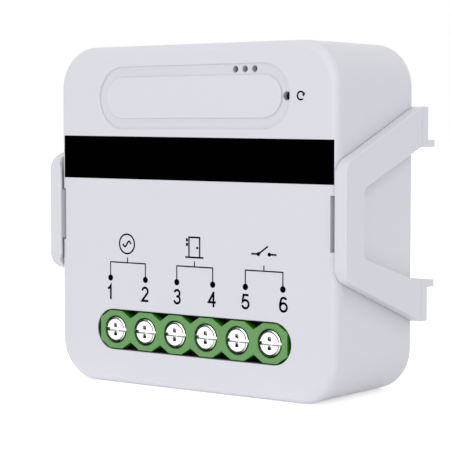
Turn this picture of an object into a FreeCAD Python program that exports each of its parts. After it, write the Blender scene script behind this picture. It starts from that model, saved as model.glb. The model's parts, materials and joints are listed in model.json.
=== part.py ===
"""Garage door controller: clip bracket, case, screw terminals and the electronics inside.

Sizes are millimetres. Pieces are built with X to the right, Y from the front face into the
case and Z up from the middle of the case. save() moves each one so that the origin lies
under the middle of the whole part, level with the bottom of the case.
"""

import FreeCAD, Part
import os

V = FreeCAD.Vector

# Two lengths nearer than this are the same length
SAME = 1e-6

# Case
CASE_WIDTH = 45.4
CASE_HEIGHT = 45.2
CORNER_RADIUS = 5.7
EDGE_RADIUS = 1.1
WALL = 1.6
FRONT_WALL = 1.6
BOARD_THICKNESS = 1.2
SOLDER_ROOM = 3.0
COVER_THICKNESS = 1.6
COVER_RIM = 1.0
COVER_GAP = 0.1

# Sunken channel, indicator holes and reset hole in the front wall
CHANNEL_LENGTH = 31.06
CHANNEL_HEIGHT = 8.2
CHANNEL_BAND = 1.33
CHANNEL_END_BAND = 1.18
CHANNEL_DEPTH = 0.3
CHANNEL_DROP = 6.88
CHANNEL_BREAK = 0.2
LAMP_DROP = 3.43
LAMP_X = 8.57
LAMP_PITCH = 1.5
LAMP_HOLE_RADIUS = 0.43
RESET_X = 15.02
RESET_DROP = 6.9
RESET_HOLE_RADIUS = 0.575

# Notches in the front edges of the case, which hold the bracket's catches
NOTCH_HEIGHT = 6.92
NOTCH_INSET = 1.02
NOTCH_DEPTH = 2.0

# Clip bracket
ARM_THICKNESS = 1.55
ARM_GAP = 0.05
ARM_PROUD = 0.4
ARM_SPINE = 4.17
ARM_EDGE_BREAK = 0.2
ARM_TOP_AT_FRONT = 7.40
ARM_BOTTOM_AT_FRONT = -6.80
ARM_NOSE_RADIUS = 2.1
WINDOW_TOP_AT_SPINE = 4.28
WINDOW_BOTTOM_AT_SPINE = -4.30
WINDOW_KNEE_RUN = 2.25
WINDOW_KNEE_RISE = 0.22
WINDOW_RADIUS = 1.0
CATCH_PLAY = 0.12
CATCH_REACH = 0.7
CATCH_RAMP = 1.4
CATCH_LENGTH = 2.25
PLATE_GAP = 0.1
ROOT_GAP = 0.02
PLATE_THICKNESS = 1.43
STRAP_TOP = 14.46
STRAP_TOP_INNER = 9.27
STRAP_BOTTOM_INNER = -7.75
STRAP_BOTTOM = -13.33
RIB_THICKNESS = 0.9
RIB_REACH = 1.7
RIB_SLOPE = 0.3
WEB_MARGIN = 0.6
WALL_HOLE_SPACING = 18.0
WALL_HOLE_RADIUS = 1.7
WALL_BOSS_RADIUS = 4.4
COUNTERSINK_RADIUS = 3.3

# Screw terminal
POLES = 6
PITCH = 5.08
SCREW_RISE = 7.3
BLOCK_PROUD = 0.05
TOWER_END = 2.67
TOWER_FLAT = 1.05
TOWER_HALF_HEIGHT = 2.525
TOWER_SIDE = 1.5
SLOT_SIDE_GAP = 0.5
SLOT_END_GAP = 0.12
SLOT_BREAK = 0.15
BLOCK_WALL_GAP = 0.3
BLOCK_RISE = 4.2
BLOCK_FOOT_GAP = 0.2
BLOCK_FLOOR = 1.2
CHAMBER_FLOOR_GAP = 0.4
CHAMBER_HALF_WIDTH = 2.1
CHAMBER_ROOF = 2.3
SHOULDER = 1.5
ENTRY_HEIGHT = 4.5
ENTRY_GAP = 0.3
HEAD_RADIUS = 1.6
HEAD_HOLE_RADIUS = 1.82
HEAD_HEIGHT = 1.2
HEAD_PROUD = 0.15
HEAD_SEAT_GAP = 0.05
HEAD_BREAK = 0.15
DRIVE_SLOT_WIDTH = 0.43
DRIVE_SLOT_DEPTH = 0.56
CROSS_LENGTH = 1.7
CROSS_WIDTH = 0.42
SHANK_RADIUS = 1.2
SHANK_GAP = 0.05
THREAD_PITCH = 0.45
CLAMP_TURNS = 4
CAGE_SIDE_GAP = 0.15
CAGE_WALL = 0.9
CAGE_SIDE_WALL = 0.65
CAGE_HALF_HEIGHT = 2.1
WIRE_ROOM = 2.8
CONTACT_THICKNESS = 0.8
CONTACT_WIDTH = 2.4
CONTACT_GAP = 0.1
LEG_WIDTH = 1.0
LEG_HEIGHT = 0.8
LEG_OVERRUN = 1.4

# Main board and what holds it
BOARD_GAP = 0.5
LEDGE_REACH = 1.3
LEDGE_THICKNESS = 2.0
LEDGE_LENGTH = 4.0
LEDGE_Z = 8.0
POST_RADIUS = 1.2
POST_INSET_X = 2.2
POST_INSET_Z = 9.5
LUG_THICKNESS = 0.8
LUG_WIDTH = 5.0
LUG_LENGTH = 2.4
LUG_Z = 10.0
BARB_REACH = 0.45
BARB_LENGTH = 0.8
BARB_SETBACK = 0.2
BARB_PLAY = 0.1
PIN_HOLE_GAP = 0.1
PIN_OVERRUN = 1.2
HEADROOM = 0.6
PART_GAP = 0.7

# Reset switch, lamps and light guide
SWITCH_SIZE = 4.5
SWITCH_HEIGHT = 3.2
SWITCH_TRAVEL = 0.3
PLUNGER_RADIUS = 1.1
PLUNGER_GAP = 0.05
PLUNGER_SOCKET = 1.8
PLUNGER_FRONT_GAP = 0.6
SWITCH_LEG_RADIUS = 0.3
LAMP_HEIGHT = 0.6
LAMP_WIDTH = 0.8
LAMP_LENGTH = 1.6
GUIDE_MARGIN = 0.45
GUIDE_HALF_HEIGHT = 0.9
GUIDE_LAMP_GAP = 0.3
GUIDE_PIN_GAP = 0.08
GUIDE_PIN_LENGTH = 0.35

# Relay
RELAY_X = 11.3
RELAY_WIDTH = 10.0
RELAY_LENGTH = 16.0
RELAY_WALL = 0.5
RELAY_FIT = 0.05
RELAY_BASE = 0.9
RELAY_PIN_RADIUS = 0.35
RELAY_PIN_INSET = 1.4
CORE_RADIUS = 1.3
BOBBIN_TUBE = 0.4
BOBBIN_FLANGE = 0.6
BOBBIN_GAP = 0.15
COIL_LENGTH = 7.3
COIL_MARGIN = 0.4
YOKE_THICKNESS = 0.8
YOKE_WIDTH = 6.0
YOKE_RISE = 2.2
POLE_PROUD = 0.3
ARMATURE_GAP = 0.4
ARMATURE_HINGE_GAP = 0.05
ARMATURE_THICKNESS = 0.7
SPRING_THICKNESS = 0.25
SPRING_WIDTH = 2.4
CONTACT_RADIUS = 0.6
CONTACT_LENGTH = 1.0
CONTACT_TRAVEL_GAP = 0.5

# Mains supply
SUPPLY_X = -11.4
TRANSFORMER_WIDTH = 11.4
TRANSFORMER_LENGTH = 11.0
FERRITE_DEPTH = 4.6
FERRITE_LEG = 1.6
FERRITE_YOKE = 1.7
FERRITE_RISE = 0.6
WINDING_BUILD = 1.3
TRANSFORMER_PIN_RADIUS = 0.3
INPUT_CAP_RADIUS = 4.0
INPUT_CAP_LENGTH = 11.4
LEAD_RADIUS = 0.3
FUSE_RADIUS = 1.4
FUSE_LENGTH = 8.0
FUSE_CAP = 1.8
VARISTOR_X = -2.7
VARISTOR_RADIUS = 3.4
VARISTOR_THICKNESS = 3.2
INDUCTOR_X = 2.4
INDUCTOR_RADIUS = 2.5
INDUCTOR_HEIGHT = 5.5
OUTPUT_CAP_X = 8.0
OUTPUT_CAP_RADIUS = 3.0
COUPLER_SIZE = (4.6, 3.4, 6.5)
POWER_CHIP_SIZE = (4.9, 1.5, 3.9)
RECTIFIER_SIZE = (4.7, 2.4, 3.9)
REGULATOR_SIZE = (6.5, 1.7, 3.5)
REGULATOR_DROP = 4.8
DIODE_SIZE = (4.3, 2.1, 2.6)
DIODE_RISE = 5.0
FLAT_LEAD = (0.6, 0.25, 0.9)

# Radio board on the back of the main board
RADIO_X = -0.3
RADIO_WIDTH = 11.0
RADIO_LENGTH = 16.0
RADIO_THICKNESS = 0.8
SHIELD_HEIGHT = 1.7
SHIELD_LENGTH = 10.5
SHIELD_INSET = 0.6
SHIELD_WALL = 0.2
RADIO_CHIP_SIZE = (5.0, 0.8, 5.0)

# Small surface-mount pieces
CHIP_PART = (1.6, 0.5, 0.8)
CHIP_PART_STEP = 1.7

# Worked out from the sizes above
HALF_WIDTH = CASE_WIDTH / 2
HALF_HEIGHT = CASE_HEIGHT / 2
HEAD_BACK = HEAD_HEIGHT - HEAD_PROUD
SEAT_Y = HEAD_BACK + HEAD_SEAT_GAP
CHAMBER_Y = SEAT_Y + SHOULDER
CLAMP_TRAVEL = CLAMP_TURNS * THREAD_PITCH
CAGE_Y = CHAMBER_Y + CONTACT_GAP + CLAMP_TRAVEL
CONTACT_Y = CAGE_Y + CAGE_WALL + CONTACT_GAP
WIRE_Y = CONTACT_Y + CONTACT_THICKNESS + WIRE_ROOM / 2
CAGE_BACK = WIRE_Y + WIRE_ROOM / 2 + CAGE_WALL
CHAMBER_BACK = CAGE_BACK + CHAMBER_FLOOR_GAP
BOARD_Y = CHAMBER_BACK + BLOCK_FLOOR
BOARD_BACK = BOARD_Y + BOARD_THICKNESS
COVER_Y = BOARD_BACK + SOLDER_ROOM
CASE_DEPTH = COVER_Y + COVER_THICKNESS
CAVITY_X = HALF_WIDTH - WALL
CAVITY_Z = HALF_HEIGHT - WALL
BOARD_X = CAVITY_X - BOARD_GAP
BOARD_Z = CAVITY_Z - BOARD_GAP
CHANNEL_Z = HALF_HEIGHT - CHANNEL_DROP
LAMP_Z = HALF_HEIGHT - LAMP_DROP
RESET_Z = HALF_HEIGHT - RESET_DROP
SCREW_Z = SCREW_RISE - HALF_HEIGHT
POLE_X = [(pole - (POLES - 1) / 2) * PITCH for pole in range(POLES)]
LAMP_PLACES = [LAMP_X + side * LAMP_PITCH for side in (-1, 0, 1)]
TALL_Y = FRONT_WALL + HEADROOM
TRANSFORMER_Y = (TALL_Y + BOARD_Y) / 2 - FERRITE_RISE

BLOCK_HALF = POLE_X[-1] + TOWER_END
BLOCK_FRONT = FRONT_WALL + BLOCK_WALL_GAP
BLOCK_TOP = SCREW_Z + BLOCK_RISE
BLOCK_FOOT = BLOCK_FOOT_GAP - CAVITY_Z
ENTRY_Y = WIRE_Y - ENTRY_HEIGHT / 2
LEG_Z = SCREW_Z + CHAMBER_ROOF + LEG_HEIGHT

ARM_X = HALF_WIDTH + ARM_GAP
ARM_OUTER = ARM_X + ARM_THICKNESS
PLATE_Y = CASE_DEPTH + PLATE_GAP
ROOT_Y = PLATE_Y - ROOT_GAP
PLATE_BACK = PLATE_Y + PLATE_THICKNESS
RIB_BACK = PLATE_BACK + RIB_REACH
WEB_HOLE_Z = (STRAP_TOP_INNER + STRAP_BOTTOM_INNER) / 2
WEB_HALF = WALL_HOLE_SPACING / 2 + WALL_BOSS_RADIUS + WEB_MARGIN

RELAY_Z = BLOCK_TOP + PART_GAP
RELAY_TOP = RELAY_Z + RELAY_LENGTH
INPUT_CAP_Z = BLOCK_TOP + PART_GAP + INPUT_CAP_RADIUS
FUSE_Z = INPUT_CAP_Z + INPUT_CAP_RADIUS + PART_GAP + FUSE_RADIUS
TRANSFORMER_Z = FUSE_Z + FUSE_RADIUS + PART_GAP
SMALL_ROW_Z = BLOCK_TOP + PART_GAP + VARISTOR_RADIUS
OUTPUT_CAP_Z = RELAY_TOP + PART_GAP + OUTPUT_CAP_RADIUS
RADIO_Z = SMALL_ROW_Z + VARISTOR_RADIUS + 2 * PART_GAP

TO_ORIGIN = V(0, (ARM_PROUD - RIB_BACK) / 2, HALF_HEIGHT)


def save(node, *solids):
    """Write one node, moved to the part's own origin."""
    shape = solids[0] if len(solids) == 1 else Part.makeCompound(list(solids))
    moved = shape.copy()
    moved.translate(TO_ORIGIN)
    moved.exportStep(f"parts/{node}.step")


def box(x, y, z):
    """A box between the two ends given for each direction."""
    return Part.makeBox(x[1] - x[0], y[1] - y[0], z[1] - z[0], V(x[0], y[0], z[0]))


def span(middle, half):
    """The two ends of a length that reaches a half to each side of its middle."""
    return (middle - half, middle + half)


def centred_box(size, x, y, z):
    """A box of a size (x, y, z) whose front face is centred on x, z at the depth y."""
    return box(span(x, size[0] / 2), (y, y + size[1]), span(z, size[2] / 2))


def rod(radius, start, end):
    """A round bar from one point to another."""
    axis = V(*end) - V(*start)
    return Part.makeCylinder(radius, axis.Length, V(*start), axis)


def bar_y(radius, x, z, y0, y1):
    """A round bar along the depth."""
    return rod(radius, (x, y0, z), (x, y1, z))


def prism_y(outline, y0, y1):
    """A straight-sided outline of (x, z) points, carried along the depth."""
    points = [V(x, y0, z) for x, z in outline]
    return Part.Face(Part.makePolygon(points + points[:1])).extrude(V(0, y1 - y0, 0))


def prism_x(outline, x0, x1):
    """A straight-sided outline of (y, z) points, carried across the width."""
    points = [V(x0, y, z) for y, z in outline]
    return Part.Face(Part.makePolygon(points + points[:1])).extrude(V(x1 - x0, 0, 0))


def prism_z(outline, z0, z1):
    """A straight-sided outline of (x, y) points, carried up the height."""
    points = [V(x, y, z0) for x, y in outline]
    return Part.Face(Part.makePolygon(points + points[:1])).extrude(V(0, 0, z1 - z0))


def straight_edges(shape, axis, inside=None):
    """The straight edges of a shape that run along one axis, 'X', 'Y' or 'Z'."""
    found = []
    for edge in shape.Edges:
        start, end = edge.Vertexes[0].Point, edge.Vertexes[-1].Point
        run = end - start
        along = abs(getattr(run, axis.lower()))
        if along > SAME and abs(run.Length - along) < SAME:
            if inside is None or inside(edge.CenterOfMass):
                found.append(edge)
    return found


def edges_on(shape, axis, value, inside=None):
    """The edges of a shape that lie in the plane where one axis has one value."""
    low, high = axis + "Min", axis + "Max"
    found = []
    for edge in shape.Edges:
        bounds = edge.BoundBox
        if abs(getattr(bounds, low) - value) < SAME and abs(getattr(bounds, high) - value) < SAME:
            if inside is None or inside(edge.CenterOfMass):
                found.append(edge)
    return found


def rounded_block(half_x, half_z, radius, y0, y1):
    """A block centred on the case, with its four long corners rounded."""
    shape = box((-half_x, half_x), (y0, y1), (-half_z, half_z))
    return shape.makeFillet(radius, straight_edges(shape, "Y"))


def obround(length, height, z, y0, y1):
    """A slot shape with half-round ends, centred on the case's middle."""
    radius = height / 2
    reach = length / 2 - radius
    middle = box((-reach, reach), (y0, y1), (z - radius, z + radius))
    ends = [bar_y(radius, side * reach, z, y0, y1) for side in (-1, 1)]
    return middle.fuse(ends).removeSplitter()


def channel_shape(end_inset, inset):
    """The channel's outline drawn in at its ends and its long sides, over the channel's depth."""
    length = CHANNEL_LENGTH - 2 * end_inset
    return obround(length, CHANNEL_HEIGHT - 2 * inset, CHANNEL_Z, 0, CHANNEL_DEPTH)


def within(half_x, z, half_z):
    """A test for edges whose middle lies in a rectangle on the front of the case."""
    return lambda point: abs(point.x) <= half_x and abs(point.z - z) <= half_z


# Case

def front_wall_recesses(shell):
    """Cut the channel round the panel and the slot for the terminal, and soften their edges."""
    shell = shell.cut(channel_shape(0, 0).cut(channel_shape(CHANNEL_END_BAND, CHANNEL_BAND)))
    near_channel = within(CHANNEL_LENGTH / 2, CHANNEL_Z, CHANNEL_HEIGHT / 2)
    shell = shell.makeFillet(CHANNEL_BREAK, edges_on(shell, "Y", 0, near_channel))
    slot_length = 2 * (BLOCK_HALF + SLOT_SIDE_GAP)
    slot_height = 2 * (TOWER_HALF_HEIGHT + SLOT_END_GAP)
    shell = shell.cut(obround(slot_length, slot_height, SCREW_Z, 0, FRONT_WALL))
    near_slot = within(slot_length / 2, SCREW_Z, slot_height / 2)
    return shell.makeFillet(SLOT_BREAK, edges_on(shell, "Y", 0, near_slot))


def side_pieces(side):
    """Board ledges on one side wall, and the pockets that hold the cover's lugs."""
    wall = side * CAVITY_X
    ledge_edge = side * (CAVITY_X - LEDGE_REACH)
    pocket_edge = side * (CAVITY_X + BARB_REACH)
    barb_y = COVER_Y - LUG_LENGTH + BARB_SETBACK
    ledge_y = (BOARD_Y - LEDGE_THICKNESS, BOARD_Y)
    pocket_depth = (barb_y - BARB_PLAY, barb_y + BARB_LENGTH + BARB_PLAY)
    half_pocket = LUG_WIDTH / 2 + BARB_PLAY
    ledges = []
    pockets = []
    for level in (-1, 1):
        ledge_z = span(level * LEDGE_Z, LEDGE_LENGTH / 2)
        ledges.append(box(sorted((ledge_edge, wall)), ledge_y, ledge_z))
        pockets.append(box(sorted((wall, pocket_edge)), pocket_depth, span(level * LUG_Z, half_pocket)))
    return ledges, pockets


def front_housing():
    shell = rounded_block(HALF_WIDTH, HALF_HEIGHT, CORNER_RADIUS, 0, CASE_DEPTH)
    shell = shell.makeFillet(EDGE_RADIUS, edges_on(shell, "Y", 0))
    shell = shell.cut(rounded_block(CAVITY_X, CAVITY_Z, CORNER_RADIUS - WALL, FRONT_WALL, CASE_DEPTH))
    rim = rounded_block(HALF_WIDTH - COVER_RIM, HALF_HEIGHT - COVER_RIM, CORNER_RADIUS - COVER_RIM,
                        COVER_Y, CASE_DEPTH)
    shell = front_wall_recesses(shell.cut(rim))
    notch_z = (-NOTCH_HEIGHT / 2, NOTCH_HEIGHT / 2)
    half_entry = CHAMBER_HALF_WIDTH + ENTRY_GAP
    wire_slot = box((POLE_X[0] - half_entry, POLE_X[-1] + half_entry),
                    (ENTRY_Y - ENTRY_GAP, ENTRY_Y + ENTRY_HEIGHT + ENTRY_GAP), (-HALF_HEIGHT, -CAVITY_Z))
    openings = [bar_y(LAMP_HOLE_RADIUS, x, LAMP_Z, 0, FRONT_WALL) for x in LAMP_PLACES]
    openings += [bar_y(RESET_HOLE_RADIUS, RESET_X, RESET_Z, 0, FRONT_WALL)]
    openings += [wire_slot.makeFillet(ENTRY_GAP, straight_edges(wire_slot, "Z"))]
    ledges = []
    for side in (-1, 1):
        notch_x = sorted((side * (HALF_WIDTH - NOTCH_INSET), side * HALF_WIDTH))
        openings.append(box(notch_x, (0, NOTCH_DEPTH), notch_z))
        more_ledges, pockets = side_pieces(side)
        ledges += more_ledges
        openings += pockets
    return shell.fuse(ledges).cut(openings)


def rear_cover():
    fit = COVER_RIM + COVER_GAP
    plate = rounded_block(HALF_WIDTH - fit, HALF_HEIGHT - fit, CORNER_RADIUS - fit, COVER_Y, CASE_DEPTH)
    pieces = []
    outer = CAVITY_X - COVER_GAP
    barb_y = COVER_Y - LUG_LENGTH + BARB_SETBACK
    for side in (-1, 1):
        for level in (-1, 1):
            lug_z = span(level * LUG_Z, LUG_WIDTH / 2)
            pieces.append(box(sorted((side * (outer - LUG_THICKNESS), side * outer)),
                              (COVER_Y - LUG_LENGTH, COVER_Y), lug_z))
            barb = [(side * outer, barb_y), (side * (outer + BARB_REACH), barb_y + BARB_LENGTH),
                    (side * outer, barb_y + BARB_LENGTH)]
            pieces.append(prism_z(barb, *lug_z))
            post_x = side * (BOARD_X - POST_INSET_X)
            post_z = level * (BOARD_Z - POST_INSET_Z)
            pieces.append(bar_y(POST_RADIUS, post_x, post_z, BOARD_BACK, COVER_Y))
    return plate.fuse(pieces).removeSplitter()


# Clip bracket

def bracket_arm(side):
    """One windowed arm with its catch, between its root on the back plate and the front."""
    front = -ARM_PROUD
    spine = front + ARM_SPINE
    outline = [(front, ARM_TOP_AT_FRONT), (ROOT_Y, STRAP_TOP), (ROOT_Y, STRAP_TOP_INNER),
               (spine, WINDOW_TOP_AT_SPINE), (spine, WINDOW_BOTTOM_AT_SPINE),
               (ROOT_Y - WINDOW_KNEE_RUN, STRAP_BOTTOM_INNER + WINDOW_KNEE_RISE),
               (ROOT_Y, STRAP_BOTTOM_INNER), (ROOT_Y, STRAP_BOTTOM), (front, ARM_BOTTOM_AT_FRONT)]
    arm = prism_x(outline, *sorted((side * ARM_X, side * ARM_OUTER)))
    for depth, radius in ((front, ARM_NOSE_RADIUS), (spine, WINDOW_RADIUS)):
        corners = straight_edges(arm, "X", lambda point: abs(point.y - depth) < SAME)
        arm = arm.makeFillet(radius, corners)
    clear_of_root = lambda point: point.y < ROOT_Y - SAME
    arm = arm.makeFillet(ARM_EDGE_BREAK, edges_on(arm, "X", side * ARM_OUTER, clear_of_root))
    inner = side * ARM_X
    tip = side * (ARM_X - CATCH_REACH - ARM_GAP)
    root = side * (ARM_X + ARM_EDGE_BREAK)
    catch = [(root, front + ARM_EDGE_BREAK), (inner, front + ARM_EDGE_BREAK), (tip, front + CATCH_RAMP),
             (tip, front + CATCH_LENGTH), (root, front + CATCH_LENGTH)]
    half_catch = NOTCH_HEIGHT / 2 - CATCH_PLAY
    return arm.fuse(prism_z(catch, -half_catch, half_catch)).removeSplitter()


def bracket_plate():
    """Two straps with standing ribs, joined by a web with two bosses for countersunk wall screws."""
    rib_top = STRAP_TOP_INNER + RIB_THICKNESS
    rib_edge = STRAP_BOTTOM_INNER - RIB_SLOPE
    upper = [(PLATE_Y, STRAP_TOP), (PLATE_BACK, STRAP_TOP), (PLATE_BACK, rib_top),
             (RIB_BACK, rib_top), (RIB_BACK, STRAP_TOP_INNER), (PLATE_Y, STRAP_TOP_INNER)]
    lower = [(PLATE_Y, STRAP_BOTTOM_INNER), (RIB_BACK, rib_edge), (RIB_BACK, rib_edge - RIB_THICKNESS),
             (PLATE_BACK, rib_edge - RIB_THICKNESS), (PLATE_BACK, STRAP_BOTTOM), (PLATE_Y, STRAP_BOTTOM)]
    web = box(span(0, WEB_HALF), (PLATE_Y, PLATE_BACK),
              (STRAP_BOTTOM_INNER - RIB_THICKNESS, STRAP_TOP_INNER + RIB_THICKNESS))
    straps = [prism_x(outline, -ARM_OUTER, ARM_OUTER) for outline in (upper, lower)]
    bosses = []
    holes = []
    sink_depth = COUNTERSINK_RADIUS - WALL_HOLE_RADIUS
    for x in span(0, WALL_HOLE_SPACING / 2):
        bosses.append(bar_y(WALL_BOSS_RADIUS, x, WEB_HOLE_Z, PLATE_Y, RIB_BACK))
        holes.append(bar_y(WALL_HOLE_RADIUS, x, WEB_HOLE_Z, PLATE_Y, RIB_BACK))
        holes.append(Part.makeCone(COUNTERSINK_RADIUS, WALL_HOLE_RADIUS, sink_depth,
                                   V(x, PLATE_Y, WEB_HOLE_Z), V(0, 1, 0)))
    return web.fuse(straps + bosses).removeSplitter().cut(holes)


# Screw terminal

def tower_outline(x):
    """The octagon of one pole's tower."""
    half = TOWER_END
    return [(x - half, SCREW_Z - TOWER_SIDE), (x - TOWER_FLAT, SCREW_Z - TOWER_HALF_HEIGHT),
            (x + TOWER_FLAT, SCREW_Z - TOWER_HALF_HEIGHT), (x + half, SCREW_Z - TOWER_SIDE),
            (x + half, SCREW_Z + TOWER_SIDE), (x + TOWER_FLAT, SCREW_Z + TOWER_HALF_HEIGHT),
            (x - TOWER_FLAT, SCREW_Z + TOWER_HALF_HEIGHT), (x - half, SCREW_Z + TOWER_SIDE)]


def pole_spaces(x):
    """What one pole needs cut out of the block: screw hole, clamp chamber, wire entry, contact slot."""
    half_contact = CONTACT_WIDTH / 2 + CONTACT_GAP
    half_leg = LEG_WIDTH / 2 + CONTACT_GAP
    contact_y = (CONTACT_Y - CONTACT_GAP, CONTACT_Y + CONTACT_THICKNESS + CONTACT_GAP)
    leg_z = (LEG_Z - LEG_HEIGHT - CONTACT_GAP, LEG_Z + CONTACT_GAP)
    chamber_x = span(x, CHAMBER_HALF_WIDTH)
    return [
        bar_y(HEAD_HOLE_RADIUS, x, SCREW_Z, -BLOCK_PROUD, SEAT_Y),
        bar_y(SHANK_RADIUS + CONTACT_GAP, x, SCREW_Z, SEAT_Y, CHAMBER_Y),
        box(chamber_x, (CHAMBER_Y, CHAMBER_BACK), span(SCREW_Z, CHAMBER_ROOF)),
        box(chamber_x, (ENTRY_Y, ENTRY_Y + ENTRY_HEIGHT), (BLOCK_FOOT, SCREW_Z)),
        box(span(x, half_contact), contact_y, (SCREW_Z, LEG_Z + CONTACT_GAP)),
        box(span(x, half_leg), (CONTACT_Y, BOARD_Y), leg_z),
    ]


def terminal_block():
    body = box((-BLOCK_HALF, BLOCK_HALF), (BLOCK_FRONT, BOARD_Y), (BLOCK_FOOT, BLOCK_TOP))
    towers = [prism_y(tower_outline(x), -BLOCK_PROUD, BLOCK_FRONT) for x in POLE_X]
    block = body.fuse(towers).removeSplitter()
    spaces = []
    for x in POLE_X:
        spaces += pole_spaces(x)
    return block.cut(spaces)


def terminal_screw(x):
    """A flat head with a slot and a short cross recess, on a round shank."""
    head = bar_y(HEAD_RADIUS, x, SCREW_Z, -HEAD_PROUD, HEAD_BACK)
    head = head.makeFillet(HEAD_BREAK, edges_on(head, "Y", -HEAD_PROUD))
    shank = bar_y(SHANK_RADIUS, x, SCREW_Z, HEAD_BACK, CONTACT_Y - CONTACT_GAP)
    depth = (-HEAD_PROUD, DRIVE_SLOT_DEPTH - HEAD_PROUD)
    slot = box(span(x, HEAD_RADIUS), depth, span(SCREW_Z, DRIVE_SLOT_WIDTH / 2))
    cross = box(span(x, CROSS_WIDTH / 2), depth, span(SCREW_Z, CROSS_LENGTH / 2))
    return head.fuse(shank).removeSplitter().cut([slot, cross])


def clamp_cage(x):
    """The cage that the screw draws forward to press a wire against the contact bar."""
    half = CHAMBER_HALF_WIDTH - CAGE_SIDE_GAP
    window = half - CAGE_SIDE_WALL
    height = span(SCREW_Z, CAGE_HALF_HEIGHT)
    cage = box(span(x, half), (CAGE_Y, CAGE_BACK), height)
    cage = cage.cut(box(span(x, window), (CAGE_Y + CAGE_WALL, CAGE_BACK - CAGE_WALL), height))
    return cage.cut(bar_y(SHANK_RADIUS + SHANK_GAP, x, SCREW_Z, CAGE_Y, CAGE_Y + CAGE_WALL))


def terminal_contact(x):
    """A contact bar through the cage, with a leg that runs back through the board."""
    bar = box(span(x, CONTACT_WIDTH / 2), (CONTACT_Y, CONTACT_Y + CONTACT_THICKNESS),
              (SCREW_Z - CHAMBER_ROOF, LEG_Z))
    leg = box(span(x, LEG_WIDTH / 2), (CONTACT_Y, BOARD_BACK + LEG_OVERRUN), (LEG_Z - LEG_HEIGHT, LEG_Z))
    return bar.fuse(leg).removeSplitter()


# Legs and pins that go through the board, as (x, z, radius)

def pin_grid(x, z, half_x, half_z, radius, columns=(-1, 1), rows=(-1, 1)):
    """Pins in columns and rows about a middle, a half length out to each side."""
    return [(x + column * half_x, z + row * half_z, radius) for column in columns for row in rows]


TERMINAL_LEG_RADIUS = (LEG_WIDTH ** 2 + LEG_HEIGHT ** 2) ** 0.5 / 2
TERMINAL_LEGS = [(x, LEG_Z - LEG_HEIGHT / 2, TERMINAL_LEG_RADIUS) for x in POLE_X]
RELAY_PIN_X = RELAY_WIDTH / 2 - RELAY_WALL - 2 * RELAY_PIN_RADIUS
RELAY_PINS = pin_grid(RELAY_X, RELAY_Z + RELAY_LENGTH / 2, RELAY_PIN_X,
                      RELAY_LENGTH / 2 - RELAY_PIN_INSET, RELAY_PIN_RADIUS)
TRANSFORMER_PINS = pin_grid(SUPPLY_X, TRANSFORMER_Z + TRANSFORMER_LENGTH / 2, TRANSFORMER_WIDTH / 3,
                            (TRANSFORMER_LENGTH - FERRITE_YOKE) / 2, TRANSFORMER_PIN_RADIUS, (-1, 0, 1))
INPUT_CAP_LEAD_X = SUPPLY_X + INPUT_CAP_LENGTH / 2 + 2 * LEAD_RADIUS
INPUT_CAP_LEADS = pin_grid(INPUT_CAP_LEAD_X, INPUT_CAP_Z, 0, INPUT_CAP_RADIUS / 2, LEAD_RADIUS, (0,))
FUSE_LEADS = pin_grid(SUPPLY_X, FUSE_Z, FUSE_LENGTH / 2 + 2 * LEAD_RADIUS, 0, LEAD_RADIUS, rows=(0,))
VARISTOR_LEADS = pin_grid(VARISTOR_X, SMALL_ROW_Z, 0, VARISTOR_RADIUS / 2, LEAD_RADIUS, (0,))
INDUCTOR_LEADS = pin_grid(INDUCTOR_X, SMALL_ROW_Z, INDUCTOR_RADIUS / 2, 0, LEAD_RADIUS, rows=(0,))
OUTPUT_CAP_LEADS = pin_grid(OUTPUT_CAP_X, OUTPUT_CAP_Z, OUTPUT_CAP_RADIUS / 2, 0, LEAD_RADIUS, rows=(0,))
SWITCH_LEGS = pin_grid(RESET_X, RESET_Z, SWITCH_SIZE / 3, SWITCH_SIZE / 3, SWITCH_LEG_RADIUS)
BOARD_HOLES = (TERMINAL_LEGS + RELAY_PINS + TRANSFORMER_PINS + INPUT_CAP_LEADS + FUSE_LEADS
               + VARISTOR_LEADS + INDUCTOR_LEADS + OUTPUT_CAP_LEADS + SWITCH_LEGS)


def pins(places, start):
    """Round pins from a depth to just past the back of the board."""
    return [bar_y(radius, x, z, start, BOARD_BACK + PIN_OVERRUN) for x, z, radius in places]


def main_board():
    board = rounded_block(BOARD_X, BOARD_Z, CORNER_RADIUS - WALL - BOARD_GAP, BOARD_Y, BOARD_BACK)
    holes = [bar_y(radius + PIN_HOLE_GAP, x, z, BOARD_Y, BOARD_BACK) for x, z, radius in BOARD_HOLES]
    return board.cut(holes)


# Reset switch, lamps and light guide

def reset_switch_body():
    front = BOARD_Y - SWITCH_HEIGHT
    body = centred_box((SWITCH_SIZE, SWITCH_HEIGHT, SWITCH_SIZE), RESET_X, front, RESET_Z)
    return body.cut(bar_y(PLUNGER_RADIUS + PLUNGER_GAP, RESET_X, RESET_Z, front, front + PLUNGER_SOCKET))


def reset_plunger():
    tip = FRONT_WALL + PLUNGER_FRONT_GAP
    foot = BOARD_Y - SWITCH_HEIGHT + PLUNGER_SOCKET - 2 * SWITCH_TRAVEL
    plunger = bar_y(PLUNGER_RADIUS, RESET_X, RESET_Z, tip, foot)
    return plunger.makeFillet(HEAD_BREAK, edges_on(plunger, "Y", tip))


def light_guide():
    half = LAMP_PITCH + LAMP_WIDTH / 2 + GUIDE_MARGIN
    back = BOARD_Y - LAMP_HEIGHT - GUIDE_LAMP_GAP
    body = box(span(LAMP_X, half), (FRONT_WALL, back), span(LAMP_Z, GUIDE_HALF_HEIGHT))
    tips = [bar_y(LAMP_HOLE_RADIUS - GUIDE_PIN_GAP, x, LAMP_Z, FRONT_WALL - GUIDE_PIN_LENGTH, FRONT_WALL)
            for x in LAMP_PLACES]
    return body.fuse(tips).removeSplitter()


# Relay

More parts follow.
